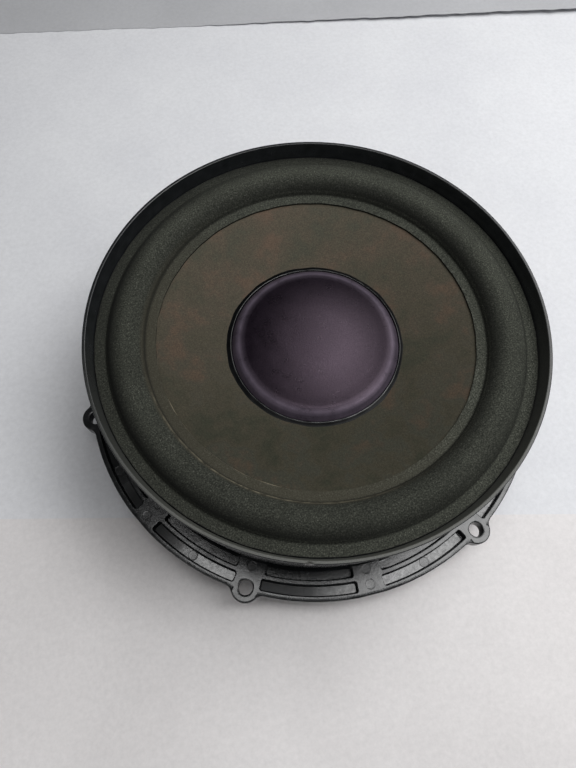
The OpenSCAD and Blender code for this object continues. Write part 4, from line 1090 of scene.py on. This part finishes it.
def make_leads():
    """Braid along a smoothed route: a tube whose radius dips between two crossing sets of strands, by the
    mean of two sines' sizes."""
    rings, steps, thick, lay_length = 260, 20, 0.9, 2.2
    along, line = resampled(LEAD_START + np.array(LEAD_SHARES) * (LEAD_END - LEAD_START), rings)
    line = smoothed(line, 60)
    ahead = np.gradient(line, axis=0)
    ahead /= np.linalg.norm(ahead, axis=1, keepdims=True)
    side = np.cross(ahead, [0.3, -0.5, 0.8])
    side /= np.linalg.norm(side, axis=1, keepdims=True)
    up = np.cross(side, ahead)
    turn = round_axis(steps)
    lay = along[:, None] / lay_length * TURN
    strand = np.abs(np.sin(2 * turn + lay)) * 0.5 + np.abs(np.sin(2 * turn - lay)) * 0.5
    radius = thick * (0.84 + 0.16 * strand)
    tube = (line[:, None] + radius[..., None] * (np.cos(turn)[:, None] * side[:, None]
                                                 + np.sin(turn)[:, None] * up[:, None]))
    ends = [list(range(steps)), list(range((rings - 1) * steps, rings * steps))]
    faces = wrapped_faces(rings, steps)[:-steps].tolist() + ends
    material = copper_braid()
    for node, sign in (("lead_positive", 1), ("lead_negative", -1)):
        corners = tube.reshape(-1, 3) * (sign, 1, 1)
        piece = mesh_of(node, corners, faces, material, 60, merge=False)
        # strand sets the radius and also the painted shade between strands
        mark(piece, "strand", strand.ravel())
        stands_for(piece, node, None)
        flexes(piece, np.repeat(along / along[-1], steps))


def make_anchors():
    """Dab of glue under the cone for each lead: a drop whose reach is a sine and whose depth is a cosine of one
    quarter turn, with a wandering edge."""
    rings, steps, dab_y, dab_r, dab_depth = 10, 48, 45.6, 3.1, 2.0
    t = np.linspace(0, 1, rings)[:, None] * math.pi / 2
    turn = round_axis(steps)
    reach = (dab_r + ripple(steps, 61, [2, 3, 5], 0.3)) * np.sin(t)
    dabs = []
    for side in (-LEAD_END[0], LEAD_END[0]):
        x, y = side + reach * np.cos(turn), dab_y + reach * np.sin(turn)
        under = cone_top(np.hypot(x, y)) - CONE_T * 1.04
        low = np.stack([x, y, under - dab_depth * np.cos(t) ** 0.8], axis=-1)
        high = np.stack([x, y, under + 0.1], axis=-1)[::-1]
        dabs.append(np.concatenate([low, high]).reshape(-1, 3))
    faces = repeated(wrapped_faces(2 * rings, steps), len(dabs), len(dabs[0]))
    piece = mesh_of("lead_anchors", np.concatenate(dabs), faces, BLACK_GLUE, 60)
    stands_for(piece, "lead_anchors", "cone_assembly")


# Stage

def make_board(name, middle, slope, rows, base, pale, curl=0.0, lift=0.0):
    """A board on the floor: rows of points at distances behind a straight edge, which passes the part's
    middle at this distance. The edge may be torn by a seeded ripple and curl up towards the right."""
    seen, far = np.linspace(-520, 560, 400), 1800.0
    along = np.concatenate([[-far], seen, [far]])
    across = np.array(rows, float)[:, None]
    torn = np.interp(along, seen, ripple(len(seen), 71, [3, 8, 19, 41, 67, 97], 0.9)) * (curl > 0)
    y = middle + slope * along + across + torn * np.exp(-across / 4)
    raised = np.interp(along, [-95, 165], [0, 1]) ** 0.7
    z = FLOOR_Z + lift + curl * raised * np.exp(-across / 60) + 0 * y
    sin_t, cos_t = math.sin(CAMERA_TURN), math.cos(CAMERA_TURN)
    corners = np.stack([along * cos_t - y * sin_t, along * sin_t + y * cos_t, z], axis=-1)
    n = len(along)
    i, j = np.meshgrid(np.arange(len(across) - 1), np.arange(n - 1), indexing="ij")
    first = (i * n + j).ravel()
    faces = np.stack([first, first + 1, first + n + 1, first + n], axis=-1)
    mesh_of(name, corners.reshape(-1, 3), faces, card(name + "_card", base, pale), 40, merge=False)


def make_stage():
    """Pale boards under the magnet as in the photograph: one main board, a warmer sheet over its near part
    and a greyer sheet behind, whose edge curls up to the right. The lamps stand in the camera's turn: soft
    ones overhead that face down, windows at the right and behind that face the part, a faint glow in front,
    and a dim room that is brightest towards the far right. Their places and sizes are metres, and a level is
    the light that shows."""
    make_board("floor_main_board", -69.2, 0.063, (-60, 2000), "#dcdde1", "#e4e5e8")
    make_board("floor_near_sheet", -69.2, 0.063, (-1900, 0), "#dfdcdc", "#e8e5e5", lift=0.25)
    make_board("floor_back_sheet", 288.8, 0.1314, (0, 1.5, 4, 8, 15, 30, 55, 90, 150, 260, 1500),
               "#b3b4b7", "#bbbcbf", curl=3.2, lift=0.3)
    turned_by = Matrix.Rotation(CAMERA_TURN, 4, "Z")
    for name, at, size, level, aimed in (
            ("ceiling_bright_end", (0.383, 0.035, 0.8065), (0.446, 0.33), 8.0, False),
            ("ceiling_dim_end", (-0.027, -0.05, 0.8065), (0.374, 0.16), 6.0, False),
            ("ceiling_behind", (0.3, 0.45, 0.8065), (0.6, 0.5), 2.7, False),
            ("window_beside", (0.72, -0.12, 0.62), (0.5, 0.5), 1.2, True),
            ("room_in_front", (-0.5, -0.62, 0.55), (0.7, 0.7), 0.6, True),
            ("window_behind", (0.62, 0.5, 0.55), (0.4, 0.4), 2.3, True)):
        lamp = bpy.data.lights.new(name, "AREA")
        lamp.shape, lamp.size, lamp.size_y = "RECTANGLE", *size
        lamp.energy = level * math.pi * lamp.size * lamp.size_y
        panel = bpy.data.objects.new(name, lamp)
        bpy.context.scene.collection.objects.link(panel)
        facing = (Vector(at) if aimed else Vector((0, 0, 1))).to_track_quat("Z", "Y").to_matrix().to_4x4()
        panel.matrix_world = turned_by @ Matrix.Translation(at) @ facing
    sky = bpy.data.worlds.new("room")
    sky.use_nodes = True
    bpy.context.scene.world = sky
    tree = sky.node_tree
    far_right = (0.683, 0.452, 0.574)
    bright = add(tree, "VectorMath", {0: add(tree, "TexCoord").outputs["Generated"], 1: far_right},
                 operation="DOT_PRODUCT").outputs["Value"]
    bright = add(tree, "MapRange", {"Value": bright, "From Min": -0.3, "From Max": 1.0})
    tone = add(tree, "ValToRGB", {"Fac": bright}, [(0.0, 0.01), (1.0, 0.12)])
    tree.links.new(tone.outputs[0], tree.nodes["Background"].inputs["Color"])
    bpy.context.scene.view_settings.view_transform = "Standard"


make_basket()
make_gasket()
make_surround()
make_lip_cement()
make_cone()
make_cap()
make_bead()
make_neck_glue()
make_coil()
make_spider()
make_motor()
make_eased_copy("motor_screws", screw_steel(), 0.12)
make_eased_copy("connector_housing", socket_nylon(), 0.25)
TINNED = tinned_brass()
for terminal in ("terminal_positive", "terminal_negative"):
    make_eased_copy(terminal, TINNED, 0.1)
make_leads()
make_anchors()
make_stage()
